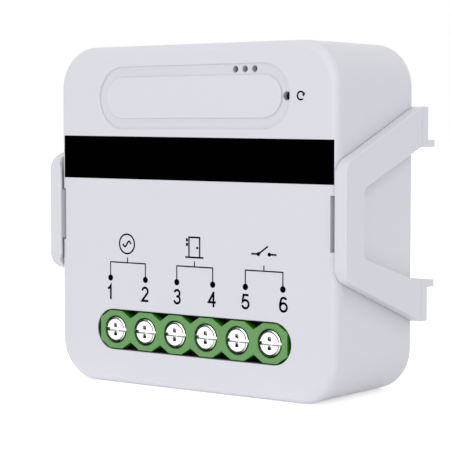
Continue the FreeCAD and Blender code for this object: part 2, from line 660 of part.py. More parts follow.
RELAY_BASE_Y = BOARD_Y - RELAY_BASE
YOKE_Y = RELAY_BASE_Y - BOBBIN_GAP - YOKE_THICKNESS
BOBBIN_Y = TALL_Y + RELAY_WALL + BOBBIN_GAP
BOBBIN_HALF = (YOKE_Y - BOBBIN_Y) / 2
CORE_Y = BOBBIN_Y + BOBBIN_HALF
COIL_RADIUS = BOBBIN_HALF - COIL_MARGIN
YOKE_END_Z = RELAY_Z + YOKE_RISE
BOBBIN_Z = YOKE_END_Z + YOKE_THICKNESS
BOBBIN_END_Z = BOBBIN_Z + 2 * BOBBIN_FLANGE + COIL_LENGTH
POLE_FACE_Z = BOBBIN_END_Z + POLE_PROUD
ARMATURE_Z = POLE_FACE_Z + ARMATURE_GAP
SPRING_Z = ARMATURE_Z + ARMATURE_THICKNESS
LEAF_Z = SPRING_Z + SPRING_THICKNESS / 2
PIVOT_Y = YOKE_Y + YOKE_THICKNESS / 2
CONTACT_TIP_Y = TALL_Y + RELAY_WALL + 2 * CONTACT_RADIUS


def relay_shell():
    """The relay's cover and the base plate that closes it."""
    half = RELAY_WIDTH / 2
    inner = half - RELAY_WALL
    cover = box(span(RELAY_X, half), (TALL_Y, BOARD_Y), (RELAY_Z, RELAY_TOP))
    cover = cover.makeFillet(RELAY_WALL, straight_edges(cover, "Y"))
    inside_z = (RELAY_Z + RELAY_WALL, RELAY_TOP - RELAY_WALL)
    cover = cover.cut(box(span(RELAY_X, inner), (TALL_Y + RELAY_WALL, BOARD_Y), inside_z))
    base = box(span(RELAY_X, inner - RELAY_FIT), (RELAY_BASE_Y, BOARD_Y),
               (inside_z[0] + RELAY_FIT, inside_z[1] - RELAY_FIT))
    return cover, base.cut([bar_y(radius, x, z, RELAY_BASE_Y, BOARD_Y) for x, z, radius in RELAY_PINS])


def relay_coil():
    """Bobbin, winding and the iron core with its angled yoke."""
    tube = CORE_RADIUS + BOBBIN_TUBE
    core = rod(CORE_RADIUS, (RELAY_X, CORE_Y, YOKE_END_Z), (RELAY_X, CORE_Y, POLE_FACE_Z))
    flanges = [box(span(RELAY_X, BOBBIN_HALF), span(CORE_Y, BOBBIN_HALF), (z, z + BOBBIN_FLANGE))
               for z in (BOBBIN_Z, BOBBIN_END_Z - BOBBIN_FLANGE)]
    spool = rod(tube, (RELAY_X, CORE_Y, BOBBIN_Z), (RELAY_X, CORE_Y, BOBBIN_END_Z)).fuse(flanges)
    spool = spool.cut(core)
    coil_ends = [(RELAY_X, CORE_Y, z) for z in (BOBBIN_Z + BOBBIN_FLANGE, BOBBIN_END_Z - BOBBIN_FLANGE)]
    winding = rod(COIL_RADIUS, *coil_ends).cut(rod(tube, *coil_ends))
    across = span(RELAY_X, YOKE_WIDTH / 2)
    yoke = box(across, (YOKE_Y, YOKE_Y + YOKE_THICKNESS), (YOKE_END_Z, ARMATURE_Z - ARMATURE_HINGE_GAP))
    end = box(across, (CORE_Y - CORE_RADIUS - BOBBIN_TUBE, YOKE_Y), (YOKE_END_Z, BOBBIN_Z))
    return spool, winding, core.fuse([yoke, end]).removeSplitter()


def relay_armature():
    """The rocking iron plate, and the contact spring that rides on it."""
    plate = box(span(RELAY_X, YOKE_WIDTH / 2), (CORE_Y - CORE_RADIUS, PIVOT_Y), (ARMATURE_Z, SPRING_Z))
    leaf = box(span(RELAY_X, SPRING_WIDTH / 2), (CONTACT_TIP_Y - CONTACT_RADIUS, PIVOT_Y),
               (SPRING_Z, SPRING_Z + SPRING_THICKNESS))
    rivet = rod(CONTACT_RADIUS, *[(RELAY_X, CONTACT_TIP_Y, z) for z in span(LEAF_Z, CONTACT_LENGTH / 2)])
    return plate, leaf.fuse(rivet).removeSplitter()


def relay_fixed_contacts():
    """The two fixed contacts, one each side of the moving one, each on a strip down to its pin."""
    strips = []
    for side, gap in ((1, RELAY_FIT), (-1, CONTACT_TRAVEL_GAP)):
        face = LEAF_Z + side * (CONTACT_LENGTH / 2 + gap)
        level = sorted((face, face + side * SPRING_THICKNESS))
        reach = side * (RELAY_PIN_X + RELAY_PIN_RADIUS / 2)
        arm = box(sorted((RELAY_X - side * CONTACT_RADIUS, RELAY_X + reach)),
                  span(CONTACT_TIP_Y, CONTACT_RADIUS), level)
        post_x = sorted((RELAY_X + reach - side * SPRING_THICKNESS, RELAY_X + reach))
        post = box(post_x, (CONTACT_TIP_Y - CONTACT_RADIUS, RELAY_BASE_Y), level)
        strips.append(arm.fuse(post).removeSplitter())
    return strips


# Mains supply and signal parts

def transformer():
    """Ferrite core in two halves, the bobbin on its middle leg, and the winding."""
    half = TRANSFORMER_WIDTH / 2
    tube = BOBBIN_TUBE
    top = TRANSFORMER_Z + TRANSFORMER_LENGTH
    split = TRANSFORMER_Z + TRANSFORMER_LENGTH / 2
    window_z = (TRANSFORMER_Z + FERRITE_YOKE, top - FERRITE_YOKE)
    across = span(SUPPLY_X, half)
    core_y = span(TRANSFORMER_Y, FERRITE_DEPTH / 2)
    leg_x = FERRITE_LEG + tube
    leg_y = FERRITE_DEPTH / 2 + tube
    core = box(across, core_y, (TRANSFORMER_Z, top))
    for side in (-1, 1):
        window_x = sorted(SUPPLY_X + side * edge for edge in (FERRITE_LEG, half - FERRITE_LEG))
        core = core.cut(box(window_x, core_y, window_z))
    halves = [core.common(box(across, core_y, ends)) for ends in ((TRANSFORMER_Z, split), (split, top))]
    winding = box(span(SUPPLY_X, leg_x + WINDING_BUILD), span(TRANSFORMER_Y, leg_y + WINDING_BUILD),
                  (window_z[0] + tube, window_z[1] - tube))
    winding = winding.makeFillet(WINDING_BUILD, straight_edges(winding, "Z"))
    sleeve = box(span(SUPPLY_X, leg_x), span(TRANSFORMER_Y, leg_y), window_z)
    rails = [box(across, (core_y[1], BOARD_Y), ends)
             for ends in ((TRANSFORMER_Z, window_z[0]), (window_z[1], top))]
    flanges = [box(span(SUPPLY_X, half - FERRITE_LEG), (TALL_Y, BOARD_Y), (z, z + tube))
               for z in (window_z[0], window_z[1] - tube)]
    sockets = [bar_y(radius, x, z, core_y[1], BOARD_Y) for x, z, radius in TRANSFORMER_PINS]
    bobbin = sleeve.fuse(rails + flanges).removeSplitter().cut(core).cut(sockets)
    return halves, bobbin, winding.cut(sleeve)


def transformer_pins():
    return pins(TRANSFORMER_PINS, TRANSFORMER_Y + FERRITE_DEPTH / 2 + BOBBIN_TUBE)


def lying_lead(x, z, y, inner_x):
    """A wire lead that leaves a lying part sideways and turns down through the board."""
    across = rod(LEAD_RADIUS, (inner_x, y, z), (x, y, z))
    down = bar_y(LEAD_RADIUS, x, z, y, BOARD_BACK + PIN_OVERRUN)
    corner = Part.makeSphere(LEAD_RADIUS, V(x, y, z))
    return across.fuse([down, corner]).removeSplitter()


def input_capacitor():
    """A can lying on its side, with both leads at its right end."""
    y = BOARD_Y - INPUT_CAP_RADIUS
    ends = [(SUPPLY_X + side * INPUT_CAP_LENGTH / 2, y, INPUT_CAP_Z) for side in (-1, 1)]
    can = rod(INPUT_CAP_RADIUS, *ends)
    can = can.makeFillet(PART_GAP / 2, [edge for edge in can.Edges if edge.Closed])
    return can, [lying_lead(x, z, y, ends[1][0]) for x, z, radius in INPUT_CAP_LEADS]


def fuse():
    """A glass tube with a metal cap and a lead at each end."""
    y = BOARD_Y - FUSE_RADIUS
    half = FUSE_LENGTH / 2
    tube = rod(FUSE_RADIUS, *[(x, y, FUSE_Z) for x in span(SUPPLY_X, half - FUSE_CAP)])
    caps = []
    for side, (x, z, radius) in zip((-1, 1), FUSE_LEADS):
        end = SUPPLY_X + side * half
        cap = rod(FUSE_RADIUS, (end, y, FUSE_Z), (end - side * FUSE_CAP, y, FUSE_Z))
        caps.append(cap.fuse(lying_lead(x, z, y, end)).removeSplitter())
    return tube, caps


def varistor():
    y = BOARD_Y - VARISTOR_RADIUS - PART_GAP
    disc = rod(VARISTOR_RADIUS, *[(x, y, SMALL_ROW_Z) for x in span(VARISTOR_X, VARISTOR_THICKNESS / 2)])
    return disc.makeFillet(PART_GAP, [edge for edge in disc.Edges if edge.Closed])


def upright(radius, x, z, height):
    """A round part that stands on the board, with its outer edges softened."""
    body = bar_y(radius, x, z, BOARD_Y - height, BOARD_Y)
    return body.makeFillet(PART_GAP / 2, [edge for edge in body.Edges if edge.Closed])


def flat_package(size, x, z, lead_axis, count, behind=False):
    """A moulded chip with flat leads on two opposite sides, on either face of the board."""
    width, height, length = size
    lead_width, lead_thickness, lead_reach = FLAT_LEAD
    y = BOARD_BACK if behind else BOARD_Y - height
    lead_y = BOARD_BACK if behind else BOARD_Y - lead_thickness
    row, reach = (width, length) if lead_axis == "Z" else (length, width)
    leads = []
    for side in (-1, 1):
        out = side * (reach + lead_reach) / 2
        for lead in range(count):
            along = (lead - (count - 1) / 2) * row / count
            if lead_axis == "Z":
                lead_size = (lead_width, lead_thickness, lead_reach)
                leads.append(centred_box(lead_size, x + along, lead_y, z + out))
            else:
                lead_size = (lead_reach, lead_thickness, lead_width)
                leads.append(centred_box(lead_size, x + out, lead_y, z + along))
    return centred_box(size, x, y, z).fuse(leads).removeSplitter()


def radio():
    """The radio board, its chip and the shield can over the chip."""
    y = BOARD_BACK + RADIO_THICKNESS
    board = box(span(RADIO_X, RADIO_WIDTH / 2), (BOARD_BACK, y), (RADIO_Z, RADIO_Z + RADIO_LENGTH))
    half = RADIO_WIDTH / 2 - SHIELD_INSET
    can_middle = RADIO_Z + SHIELD_INSET + SHIELD_LENGTH / 2
    can = box(span(RADIO_X, half), (y, y + SHIELD_HEIGHT), span(can_middle, SHIELD_LENGTH / 2))
    can = can.makeFillet(SHIELD_WALL, edges_on(can, "Y", y + SHIELD_HEIGHT))
    room = box(span(RADIO_X, half - SHIELD_WALL), (y, y + SHIELD_HEIGHT - SHIELD_WALL),
               span(can_middle, SHIELD_LENGTH / 2 - SHIELD_WALL))
    return board, can.cut(room), centred_box(RADIO_CHIP_SIZE, RADIO_X, y, can_middle)


def chip_row(x, z, count, step):
    """A row of small surface-mount pieces on the front of the board."""
    return [centred_box(CHIP_PART, x, BOARD_Y - CHIP_PART[1], z + index * step) for index in range(count)]


def write_case_and_bracket():
    save("front_housing", front_housing())
    save("rear_cover", rear_cover())
    save("bracket_plate", bracket_plate())
    save("bracket_arm_left", bracket_arm(-1))
    save("bracket_arm_right", bracket_arm(1))


def write_terminals():
    save("terminal_block", terminal_block())
    for number, x in enumerate(POLE_X, 1):
        save(f"terminal_screw_{number}", terminal_screw(x))
        save(f"clamp_cage_{number}", clamp_cage(x))
    save("terminal_contacts", *[terminal_contact(x) for x in POLE_X])


def write_board_and_reset():
    save("main_board", main_board())
    save("reset_switch_body", reset_switch_body())
    save("reset_switch_legs", *pins(SWITCH_LEGS, BOARD_Y))
    save("reset_plunger", reset_plunger())
    save("light_guide", light_guide())
    lamp_size = (LAMP_WIDTH, LAMP_HEIGHT, LAMP_LENGTH)
    save("status_lamps", *[centred_box(lamp_size, x, BOARD_Y - LAMP_HEIGHT, LAMP_Z) for x in LAMP_PLACES])


def write_relay():
    cover, base = relay_shell()
    spool, winding, core = relay_coil()
    plate, leaf = relay_armature()
    save("relay_cover", cover)
    save("relay_base", base)
    save("relay_bobbin", spool)
    save("relay_winding", winding)
    save("relay_core", core)
    save("relay_armature", plate)
    save("relay_contact_spring", leaf)
    save("relay_fixed_contacts", *relay_fixed_contacts())
    save("relay_pins", *pins(RELAY_PINS, RELAY_BASE_Y))


def write_supply():
    halves, bobbin, winding = transformer()
    save("transformer_core", *halves)
    save("transformer_bobbin", bobbin)
    save("transformer_winding", winding)
    save("transformer_pins", *transformer_pins())
    can, leads = input_capacitor()
    save("input_capacitor", can)
    save("input_capacitor_leads", *leads)
    tube, caps = fuse()
    save("fuse_tube", tube)
    save("fuse_caps", *caps)
    save("varistor", varistor())
    save("varistor_leads", *pins(VARISTOR_LEADS, BOARD_Y - PART_GAP))
    save("filter_inductor", upright(INDUCTOR_RADIUS, INDUCTOR_X, SMALL_ROW_Z, INDUCTOR_HEIGHT))
    save("output_capacitor", upright(OUTPUT_CAP_RADIUS, OUTPUT_CAP_X, OUTPUT_CAP_Z, BOARD_Y - TALL_Y))
    save("part_leads", *pins(INDUCTOR_LEADS + OUTPUT_CAP_LEADS, BOARD_Y))


def write_chips():
    middle = RADIO_Z + RADIO_LENGTH / 2
    transformer_middle = TRANSFORMER_Z + TRANSFORMER_LENGTH / 2
    save("power_chip", flat_package(POWER_CHIP_SIZE, RADIO_X, RADIO_Z + POWER_CHIP_SIZE[2], "Z", 4))
    save("optocoupler", flat_package(COUPLER_SIZE, RADIO_X, middle + COUPLER_SIZE[2] / 2, "Z", 2))
    save("bridge_rectifier", flat_package(RECTIFIER_SIZE, SUPPLY_X, transformer_middle, "X", 2, True))
    save("regulator", flat_package(REGULATOR_SIZE, RELAY_X, RELAY_TOP - REGULATOR_DROP, "Z", 3, True))
    save("relay_diode", flat_package(DIODE_SIZE, RELAY_X, RELAY_Z + DIODE_RISE, "X", 1, True))
    board, can, chip = radio()
    save("radio_board", board)
    save("radio_shield", can)
    save("radio_chip", chip)
    save("chip_resistors", *chip_row(RADIO_X - RADIO_WIDTH / 3, middle, 4, CHIP_PART_STEP))
    save("chip_capacitors", *chip_row(RADIO_X + RADIO_WIDTH / 3, middle, 4, CHIP_PART_STEP))


os.makedirs("parts", exist_ok=True)
write_case_and_bracket()
write_terminals()
write_board_and_reset()
write_relay()
write_supply()
write_chips()
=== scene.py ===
"""Garage door controller: finishes, prints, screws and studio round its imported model.

Lengths are metres. X is to the right, Y from the front face to the wall and Z up. MM turns
a size in millimetres into metres. New pieces are surfaces worked out as whole arrays.
"""

import json
import math

import bmesh
import bpy
import numpy as np
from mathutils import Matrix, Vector


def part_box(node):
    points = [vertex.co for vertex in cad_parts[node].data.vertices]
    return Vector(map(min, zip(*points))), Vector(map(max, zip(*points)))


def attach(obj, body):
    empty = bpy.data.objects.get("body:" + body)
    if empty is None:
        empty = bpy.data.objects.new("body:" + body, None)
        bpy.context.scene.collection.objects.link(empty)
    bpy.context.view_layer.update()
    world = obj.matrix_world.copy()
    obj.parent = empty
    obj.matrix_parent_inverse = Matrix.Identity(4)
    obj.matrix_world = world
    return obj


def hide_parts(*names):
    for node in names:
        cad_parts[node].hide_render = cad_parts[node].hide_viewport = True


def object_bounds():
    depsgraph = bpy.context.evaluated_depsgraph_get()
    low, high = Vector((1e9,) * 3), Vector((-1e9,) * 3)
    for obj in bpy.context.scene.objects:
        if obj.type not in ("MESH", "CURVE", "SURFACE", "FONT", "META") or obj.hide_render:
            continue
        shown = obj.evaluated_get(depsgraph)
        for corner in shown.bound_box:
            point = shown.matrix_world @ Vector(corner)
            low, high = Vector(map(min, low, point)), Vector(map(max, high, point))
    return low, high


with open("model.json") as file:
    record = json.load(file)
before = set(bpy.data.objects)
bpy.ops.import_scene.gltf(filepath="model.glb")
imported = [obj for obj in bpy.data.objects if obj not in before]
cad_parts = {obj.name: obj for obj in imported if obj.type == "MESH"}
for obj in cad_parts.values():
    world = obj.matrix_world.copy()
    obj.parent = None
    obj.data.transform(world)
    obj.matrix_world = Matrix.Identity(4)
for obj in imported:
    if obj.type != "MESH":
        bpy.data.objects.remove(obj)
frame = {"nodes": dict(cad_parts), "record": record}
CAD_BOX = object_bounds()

bl_info = {
    "name": "Garage door controller",
    "version": (1, 0, 0),
    "blender": (4, 5, 0),
    "location": "View3D > Sidebar > Controller",
    "description": "Builds the finishes, prints, screws and studio of a garage door controller",
    "category": "Object",
}

MM = 0.001
POLES = 6
CASE_LOW, CASE_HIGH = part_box("front_housing")
CASE_MIDDLE_Z = (CASE_LOW.z + CASE_HIGH.z) / 2
FRONT = CASE_LOW.y
FRONT_FILLET = 1.1 * MM

# Points nearer than this are one point, and an edge that turns by more is shaded as sharp
WELD = 1e-7
SHARP_EDGE = math.radians(32)

# Printed wiring lines: left dot, stem and right dot of each group, from the case's middle
WIRING_GROUPS = ((-13.65, -10.68, -7.58), (-2.25, 0.69, 3.655), (8.87, 11.755, 14.67))
WIRING_STEM_TOP, WIRING_BAR, WIRING_FOOT = -5.53, -6.24, -8.38
NUMBER_X = (-13.75, -7.65, -2.2, 3.55, 8.87, 14.75)
NUMBER_Z = -10.29
SIGN_X = (-10.76, 0.66, 11.74)
SIGN_Z = -3.72
RESET_SIGN = (17.3, 15.7)

# Ink: how deep its back lies in the case, how much thicker each layer is that crosses another,
# the least share that a mitred corner's reach is divided by, and the steps round a circle
INK_ROOT = 0.002 * MM
INK_STEP = 0.05
MITRE_LIMIT = 0.3
CIRCLE_SIDES = 48

# Screw head: its face ends in a fine turned groove and then a bevel down to the rim. The edges of
# the recesses are broken by a share of their depth, and the cross's floor rises to a short end
HEAD_RADIUS = 1.70 * MM
HEAD_HEIGHT = 1.2 * MM
HEAD_FACE = 1.40 * MM
GROOVE_RADII = HEAD_FACE + np.array([0.005, 0.015, 0.15, 0.16]) * MM
GROOVE_DEPTHS = np.array([0.012, 0.06, 0.06, 0.012]) * MM
BEVEL_RADII = np.linspace(HEAD_FACE + 0.17 * MM, HEAD_RADIUS - 0.01 * MM, 6)
BEVEL_DEPTHS = np.linspace(0.012, 0.05, 6) * MM
RIM_DEPTH = 0.09 * MM
EDGE_BREAK = 0.05
CROSS_RISE, CROSS_END = 0.75, 0.06 * MM
SIDE_SHARES = np.array([0.25, 0.5, 0.75, 1])

# Screw shank: THREAD_WAVE is half the depth of the thread
SHANK_RADIUS = 1.2 * MM
SHANK_ROWS = 110
THREAD_WAVE = 0.08 * MM
POINT_LENGTH, POINT_DEPTH = 0.5 * MM, 0.35 * MM

# Painted shade on a screw, how dark each place is painted: the cross's walls and floor in its upper
# and lower half by the share of its half length, the slot's walls in each half, the groove and the
# bevel by the angle, and the head's side and the shank
CROSS_WALL_PAINTED_SHADE = (((0.5, 0.8), (1, 0.5)), ((0.5, 0.75), (0.75, 1)))
CROSS_FLOOR_PAINTED_SHADE = (((0.4, 0.62), (1, 0.55)), ((0.55, 0.72), (0.35, 1)))
SLOT_PAINTED_SHADE = (0.3, 1.0)
GROOVE_PAINTED_SHADE = ((0, 4, 8, 60, 84, 100, 290, 325, 360), (0.6, 0.8, 1, 1, 0.9, 1, 1, 0.6, 0.55))
BEVEL_PAINTED_SHADE = ((0, 8, 60, 80, 104, 300, 325, 360), (0.1, 0, 0, 0.6, 1, 1, 0.35, 0.1))
SIDE_PAINTED_SHADE, SHANK_PAINTED_SHADE = 0.9, 0.15

# Lip along each arm's front edge, in millimetres and degrees: how near the middle it comes, its
# section as (share of the way in from the arm, depth), and the arm's front edge and rounded nose
LIP_INNER = {"left": 22.33, "right": 22.55}
LIP_OUTER, LIP_END, LIP_TURN = 22.93, 22.8, 30
LIP_SECTION = ((0, -0.405), (0.84, -0.405), (0.95, -0.37), (1, -0.3), (1, -0.08), (0.2, 0.25), (0, 0))
ARM_FRONT_TOP, ARM_FRONT_BOTTOM, ARM_NOSE, ARM_FORWARD = 5.97, -5.33, 2.1, 0.4

# Where the case is in shade: the limits of each place in millimetres, and (mask, shade) steps
CASE_SHADES = {
    "lamp holes": (
        dict(Start=0.32, End=1.72, Foot=30.0, Top=42.5, Reach=12.0),
        ((0.02, 1.0), (0.5, 1.0), (0.62, 0.78), (0.93, 0.78), (0.95, 1.0))),
    "reset hole": (
        dict(Start=0.32, End=1.72, Foot=30.0, Top=42.5, Clear=12.0, Reach=16.6),
        ((0.02, 1.0), (0.5, 0.72), (0.62, 0.0), (0.93, 0.0), (0.95, 1.0))),
    "terminal slot": (
        dict(Start=0.0, End=1.72, Foot=2.2, Top=15.0, Reach=16.8),
        ((0.01, 0.30), (0.05, 0.10), (0.5, 0.05), (0.93, 0.04), (0.95, 1.0))),
    "notches": (
        dict(Start=0.0, End=2.6, Foot=18.9, Top=26.2, Clear=21.4, Reach=22.6),
        ((0.2, 0.97), (0.45, 0.85), (0.93, 0.55), (0.95, 1.0))),
    "channel": (
        dict(Start=0.0, End=0.5, Foot=33.4, Top=42.7, Reach=16.3),
        ((0.08, 0.96), (0.4, 0.955), (0.6, 0.985), (1.0, 0.985))),
    "side, under the top edge of the arm's window": (
        dict(Start=3.8, End=3.9, Foot=23.0, Foot_Fade=2.5, Top=25.5, Top_Fade=0.05, Slope=0.364,
             Clear=22.4), ((1.0, 0.80),)),
    "side, under the arm": (
        dict(Start=1.0, End=1.6, Foot=12.65, Foot_Fade=3.0, Top=15.65, Top_Fade=0.05, Slope=-0.365,
             Clear=22.4), ((1.0, 0.88),)),
    "foot": (
        dict(Start=0.7, End=1.8, Foot=-1.0, Top=7.0, Top_Fade=7.0), ((1.0, 0.93),)),
}
BRACKET_SHADE = (dict(Start=0.0, End=1.2, Clear=21.5, Reach=22.95),
                 ((0.25, 0.95), (0.8, 0.68), (1.0, 0.62)))
SIDE_FADE = 0.2

# Painted shade on the terminal: its colour falls off with depth, in (mask, colour) steps, and at
# the holes' rims, which lie one pitch apart and have two radii, in millimetres
TERMINAL_SHADE_DEPTH = dict(Start=-0.04, End=2.2, Foot=3.9, Reach=30.0)
TERMINAL_SHADE_STEPS = ((0.0, (1, 1, 1)), (0.012, (0.32, 1.0, 0.10)), (0.28, (0.22, 0.86, 0.04)),
                  (0.55, (0.04, 0.20, 0.008)), (0.80, (0.004, 0.01, 0.003)))
RIM_SHADE_STEPS = ((0.0, (1, 1, 1)), (1.0, (0.08, 0.38, 0.04)))
POLE_PITCH, RIM_INNER, RIM_OUTER = 5.08, 1.82, 1.95

# The screws' plate, and how the painted shade darkens it, in (painted shade, colour) steps
SCREW_COLOUR = (0.94, 0.94, 0.945)
PAINTED_SHADE_STEPS = ((0.0, (1, 1, 1)), (1.0, (0.010, 0.013, 0.009)))

# Colour and roughness of what is inside the case, by the record's material slot
PLASTICS = {
    "black_plastic": ((0.012, 0.012, 0.014), 0.5),
    "relay_plastic": ((0.016, 0.062, 0.270), 0.3),
    "bobbin_plastic": ((0.024, 0.023, 0.022), 0.45),
    "lamp_resin": ((0.780, 0.740, 0.520), 0.25),
    "capacitor_sleeve": ((0.012, 0.014, 0.030), 0.25),
    "varistor_resin": ((0.020, 0.110, 0.330), 0.35),
    "chip_ceramic": ((0.260, 0.190, 0.120), 0.6),
    "ferrite": ((0.030, 0.030, 0.032), 0.55),
    "board_laminate": ((0.012, 0.120, 0.050), 0.28),
}
METALS = {
    "cage_steel": ((0.62, 0.61, 0.58), 0.34),
    "contact_metal": ((0.80, 0.76, 0.64), 0.28),
    "soft_iron": ((0.50, 0.50, 0.51), 0.38),
    "spring_bronze": ((0.72, 0.50, 0.26), 0.28),
    "tinned_lead": ((0.74, 0.74, 0.72), 0.24),
    "shield_steel": ((0.70, 0.71, 0.72), 0.26),
    "copper_wire": ((0.62, 0.26, 0.11), 0.30),
}
CLEAR = ((0.93, 0.95, 0.96), 0.12)

# Studio: each lamp's place, size and power setting, in metres; the table's glow before the
# object, as (axis, none here, full here) in millimetres; and the table itself
LAMPS = {
    "key_lamp": ((-0.12, -0.66, 0.17), 0.32, "key_power"),
    "fill_lamp": ((0.62, -0.25, 0.30), 0.5, "fill_power"),
    "top_lamp": ((0.05, -0.05, 0.75), 0.6, "top_power"),
    "sheen_lamp": ((0.28, -0.53, 0.25), 0.55, "sheen_power"),
}
GLOW_LIMITS = (("Y", -9, -10.5), ("Y", -22, -14), ("X", 23, 18), ("X", -24, -21))
FLOOR_COLOUR = (0.94, 0.94, 0.94, 1)
FLOOR_RINGS = np.concatenate([[0], np.geomspace(0.01, 4.0, 24)])
FLOOR_SIDES = 96
SENSOR_WIDTH = 36


# Settings that a user would change


class CaseSettings(bpy.types.PropertyGroup):
    colour: bpy.props.FloatVectorProperty(
        name="Case colour", description="Colour of the moulded case and its bracket",
        default=(0.728, 0.728, 0.768), min=0, max=1, subtype="COLOR")
    roughness: bpy.props.FloatProperty(
        name="Roughness", description="How matt the moulded case is", default=0.42, min=0, max=1,
        subtype="FACTOR")
    grain: bpy.props.FloatProperty(
        name="Grain size", description="Width of one grain of the spark-eroded texture",
        default=0.16 * MM, unit="LENGTH")
    grain_depth: bpy.props.FloatProperty(
        name="Grain depth", description="Depth of the spark-eroded texture",
        default=0.0012 * MM, unit="LENGTH")
    edge: bpy.props.FloatProperty(
        name="Edge radius", description="Radius of the bracket's moulded edges",
        default=0.12 * MM, unit="LENGTH")


class TerminalSettings(bpy.types.PropertyGroup):
    colour: bpy.props.FloatVectorProperty(
        name="Terminal colour", description="Colour of the screw terminal's block",
        default=(0.137, 0.332, 0.100), min=0, max=1, subtype="COLOR")
    roughness: bpy.props.FloatProperty(
        name="Roughness", description="How matt the terminal's block is", default=0.45, min=0,
        max=1, subtype="FACTOR")
    edge: bpy.props.FloatProperty(
        name="Edge radius", description="Radius of the block's moulded edges", default=0.08 * MM,
        unit="LENGTH")


class PrintSettings(bpy.types.PropertyGroup):
    ink: bpy.props.FloatVectorProperty(
        name="Ink colour", description="Colour of the printed band, lines and numbers",
        default=(0.0003, 0.0003, 0.0003), min=0, max=1, subtype="COLOR")
    thickness: bpy.props.FloatProperty(
        name="Ink thickness", description="How far the ink stands on the case",
        default=0.012 * MM, unit="LENGTH")
    band_top: bpy.props.FloatProperty(
        name="Band top", description="Top of the band above the middle of the case",
        default=10.52 * MM, unit="LENGTH")
    band_bottom: bpy.props.FloatProperty(
        name="Band bottom", description="Bottom of the band above the middle of the case",
        default=4.895 * MM, unit="LENGTH")
    band_reach: bpy.props.FloatProperty(
        name="Band reach", description="How far the band runs to each side of its middle",
        default=22.05 * MM, unit="LENGTH")
    band_shift: bpy.props.FloatProperty(
        name="Band shift", description="How far the band lies to the right of the case's middle",
        default=0.11 * MM, unit="LENGTH")
    band_top_tilt: bpy.props.FloatProperty(
        name="Band top tilt", description="How far the band's top edge falls to the right",
        default=math.radians(0.54), subtype="ANGLE")
    band_bottom_tilt: bpy.props.FloatProperty(
        name="Band bottom tilt", description="How far the band's bottom edge falls to the right",
        default=math.radians(0.25), subtype="ANGLE")
    line_width: bpy.props.FloatProperty(
        name="Line width", description="Width of the wiring lines", default=0.17 * MM, unit="LENGTH")
    sign_width: bpy.props.FloatProperty(
        name="Sign line width", description="Width of the lines of the signs", default=0.22 * MM,
        unit="LENGTH")
    dot_radius: bpy.props.FloatProperty(
        name="Dot radius", description="Radius of the dots that end the wiring lines",
        default=0.42 * MM, unit="LENGTH")
    digit_height: bpy.props.FloatProperty(
        name="Number height", description="Height of the terminal numbers", default=2.0 * MM,
        unit="LENGTH")
    digit_stroke: bpy.props.FloatProperty(
        name="Number stroke", description="Width of the strokes of the terminal numbers",
        default=0.30 * MM, unit="LENGTH")


class ScrewSettings(bpy.types.PropertyGroup):
    slot_width: bpy.props.FloatProperty(
        name="Slot width", description="Width of the slot across the head", default=0.43 * MM,
        unit="LENGTH")
    slot_depth: bpy.props.FloatProperty(
        name="Slot depth", description="Depth of the slot", default=0.56 * MM, unit="LENGTH")
    cross_width: bpy.props.FloatProperty(
        name="Cross width", description="Width of the cross recess", default=0.54 * MM,
        unit="LENGTH")
    cross_depth: bpy.props.FloatProperty(
        name="Cross depth", description="Depth of the cross recess at its middle",
        default=0.72 * MM, unit="LENGTH")
    cross_length: bpy.props.FloatProperty(
        name="Cross length", description="Length of the cross recess", default=1.70 * MM,
        unit="LENGTH")
    thread_pitch: bpy.props.FloatProperty(
        name="Thread pitch", description="Distance between two turns of the thread",
        default=0.45 * MM, unit="LENGTH")


class StageSettings(bpy.types.PropertyGroup):
    lens: bpy.props.FloatProperty(
        name="Lens", description="Focal length of the camera in millimetres", default=134.81,
        subtype="DISTANCE_CAMERA")
    azimuth: bpy.props.FloatProperty(
        name="Azimuth", description="How far the camera stands to the right of the front",
        default=math.radians(37.011), subtype="ANGLE")
    elevation: bpy.props.FloatProperty(
        name="Elevation", description="How far the camera looks down", default=math.radians(3.248),
        subtype="ANGLE")
    distance: bpy.props.FloatProperty(
        name="Distance", description="Camera to the point that it looks at",
        default=215.04 * MM, unit="LENGTH")
    aim: bpy.props.FloatVectorProperty(
        name="Aim", description="Point of the front face that the camera looks at, from its middle",
        default=(5.635 * MM, 0, -0.632 * MM), subtype="TRANSLATION")
    ambient: bpy.props.FloatProperty(
        name="Ambient light", description="Strength of the even light from all sides", default=0.66,
        min=0)
    tint: bpy.props.FloatVectorProperty(
        name="Light colour", description="Colour of the even light", default=(0.99, 0.99, 1.03),
        min=0, soft_max=1, subtype="COLOR")
    floor_glow: bpy.props.FloatProperty(
        name="Floor glow", description="Light that the table gives off from below", default=0.03,
        min=0)
    front_glow: bpy.props.FloatProperty(
        name="Front glow", description="Light that the table adds just in front of the object",
        default=0.14, min=0)
    floor_white: bpy.props.FloatProperty(
        name="Floor white", description="What is added to the floor where it is seen", default=0.50,
        min=0)
    key_power: bpy.props.FloatProperty(
        name="Key power", description="Power of the low lamp at the front left", default=0.8,
        min=0, unit="POWER")
    fill_power: bpy.props.FloatProperty(
        name="Fill power", description="Power of the large lamp at the right", default=0.5, min=0,
        unit="POWER")
    top_power: bpy.props.FloatProperty(
        name="Top power", description="Power of the large lamp overhead", default=0.9, min=0,
        unit="POWER")
    sheen_power: bpy.props.FloatProperty(
        name="Sheen power", description="Power of the lamp that only shows as a sheen", default=1.5,
        min=0, unit="POWER")


# Nodes and node groups


def add_node(tree, kind, inputs=None, **settings):
    """A shader node with its settings, and its inputs given as sockets to link or values to set."""
    node = tree.nodes.new("ShaderNode" + kind)
    for name, value in settings.items():
        setattr(node, name, value)
    for name, value in (inputs or {}).items():
        if isinstance(value, bpy.types.NodeSocket):
            tree.links.new(value, node.inputs[name])
        else:
            node.inputs[name].default_value = value
    return node


def math_node(tree, operation, *values):
    """The result of a Math node on sockets or numbers."""
    return add_node(tree, "Math", dict(enumerate(values)), operation=operation).outputs[0]


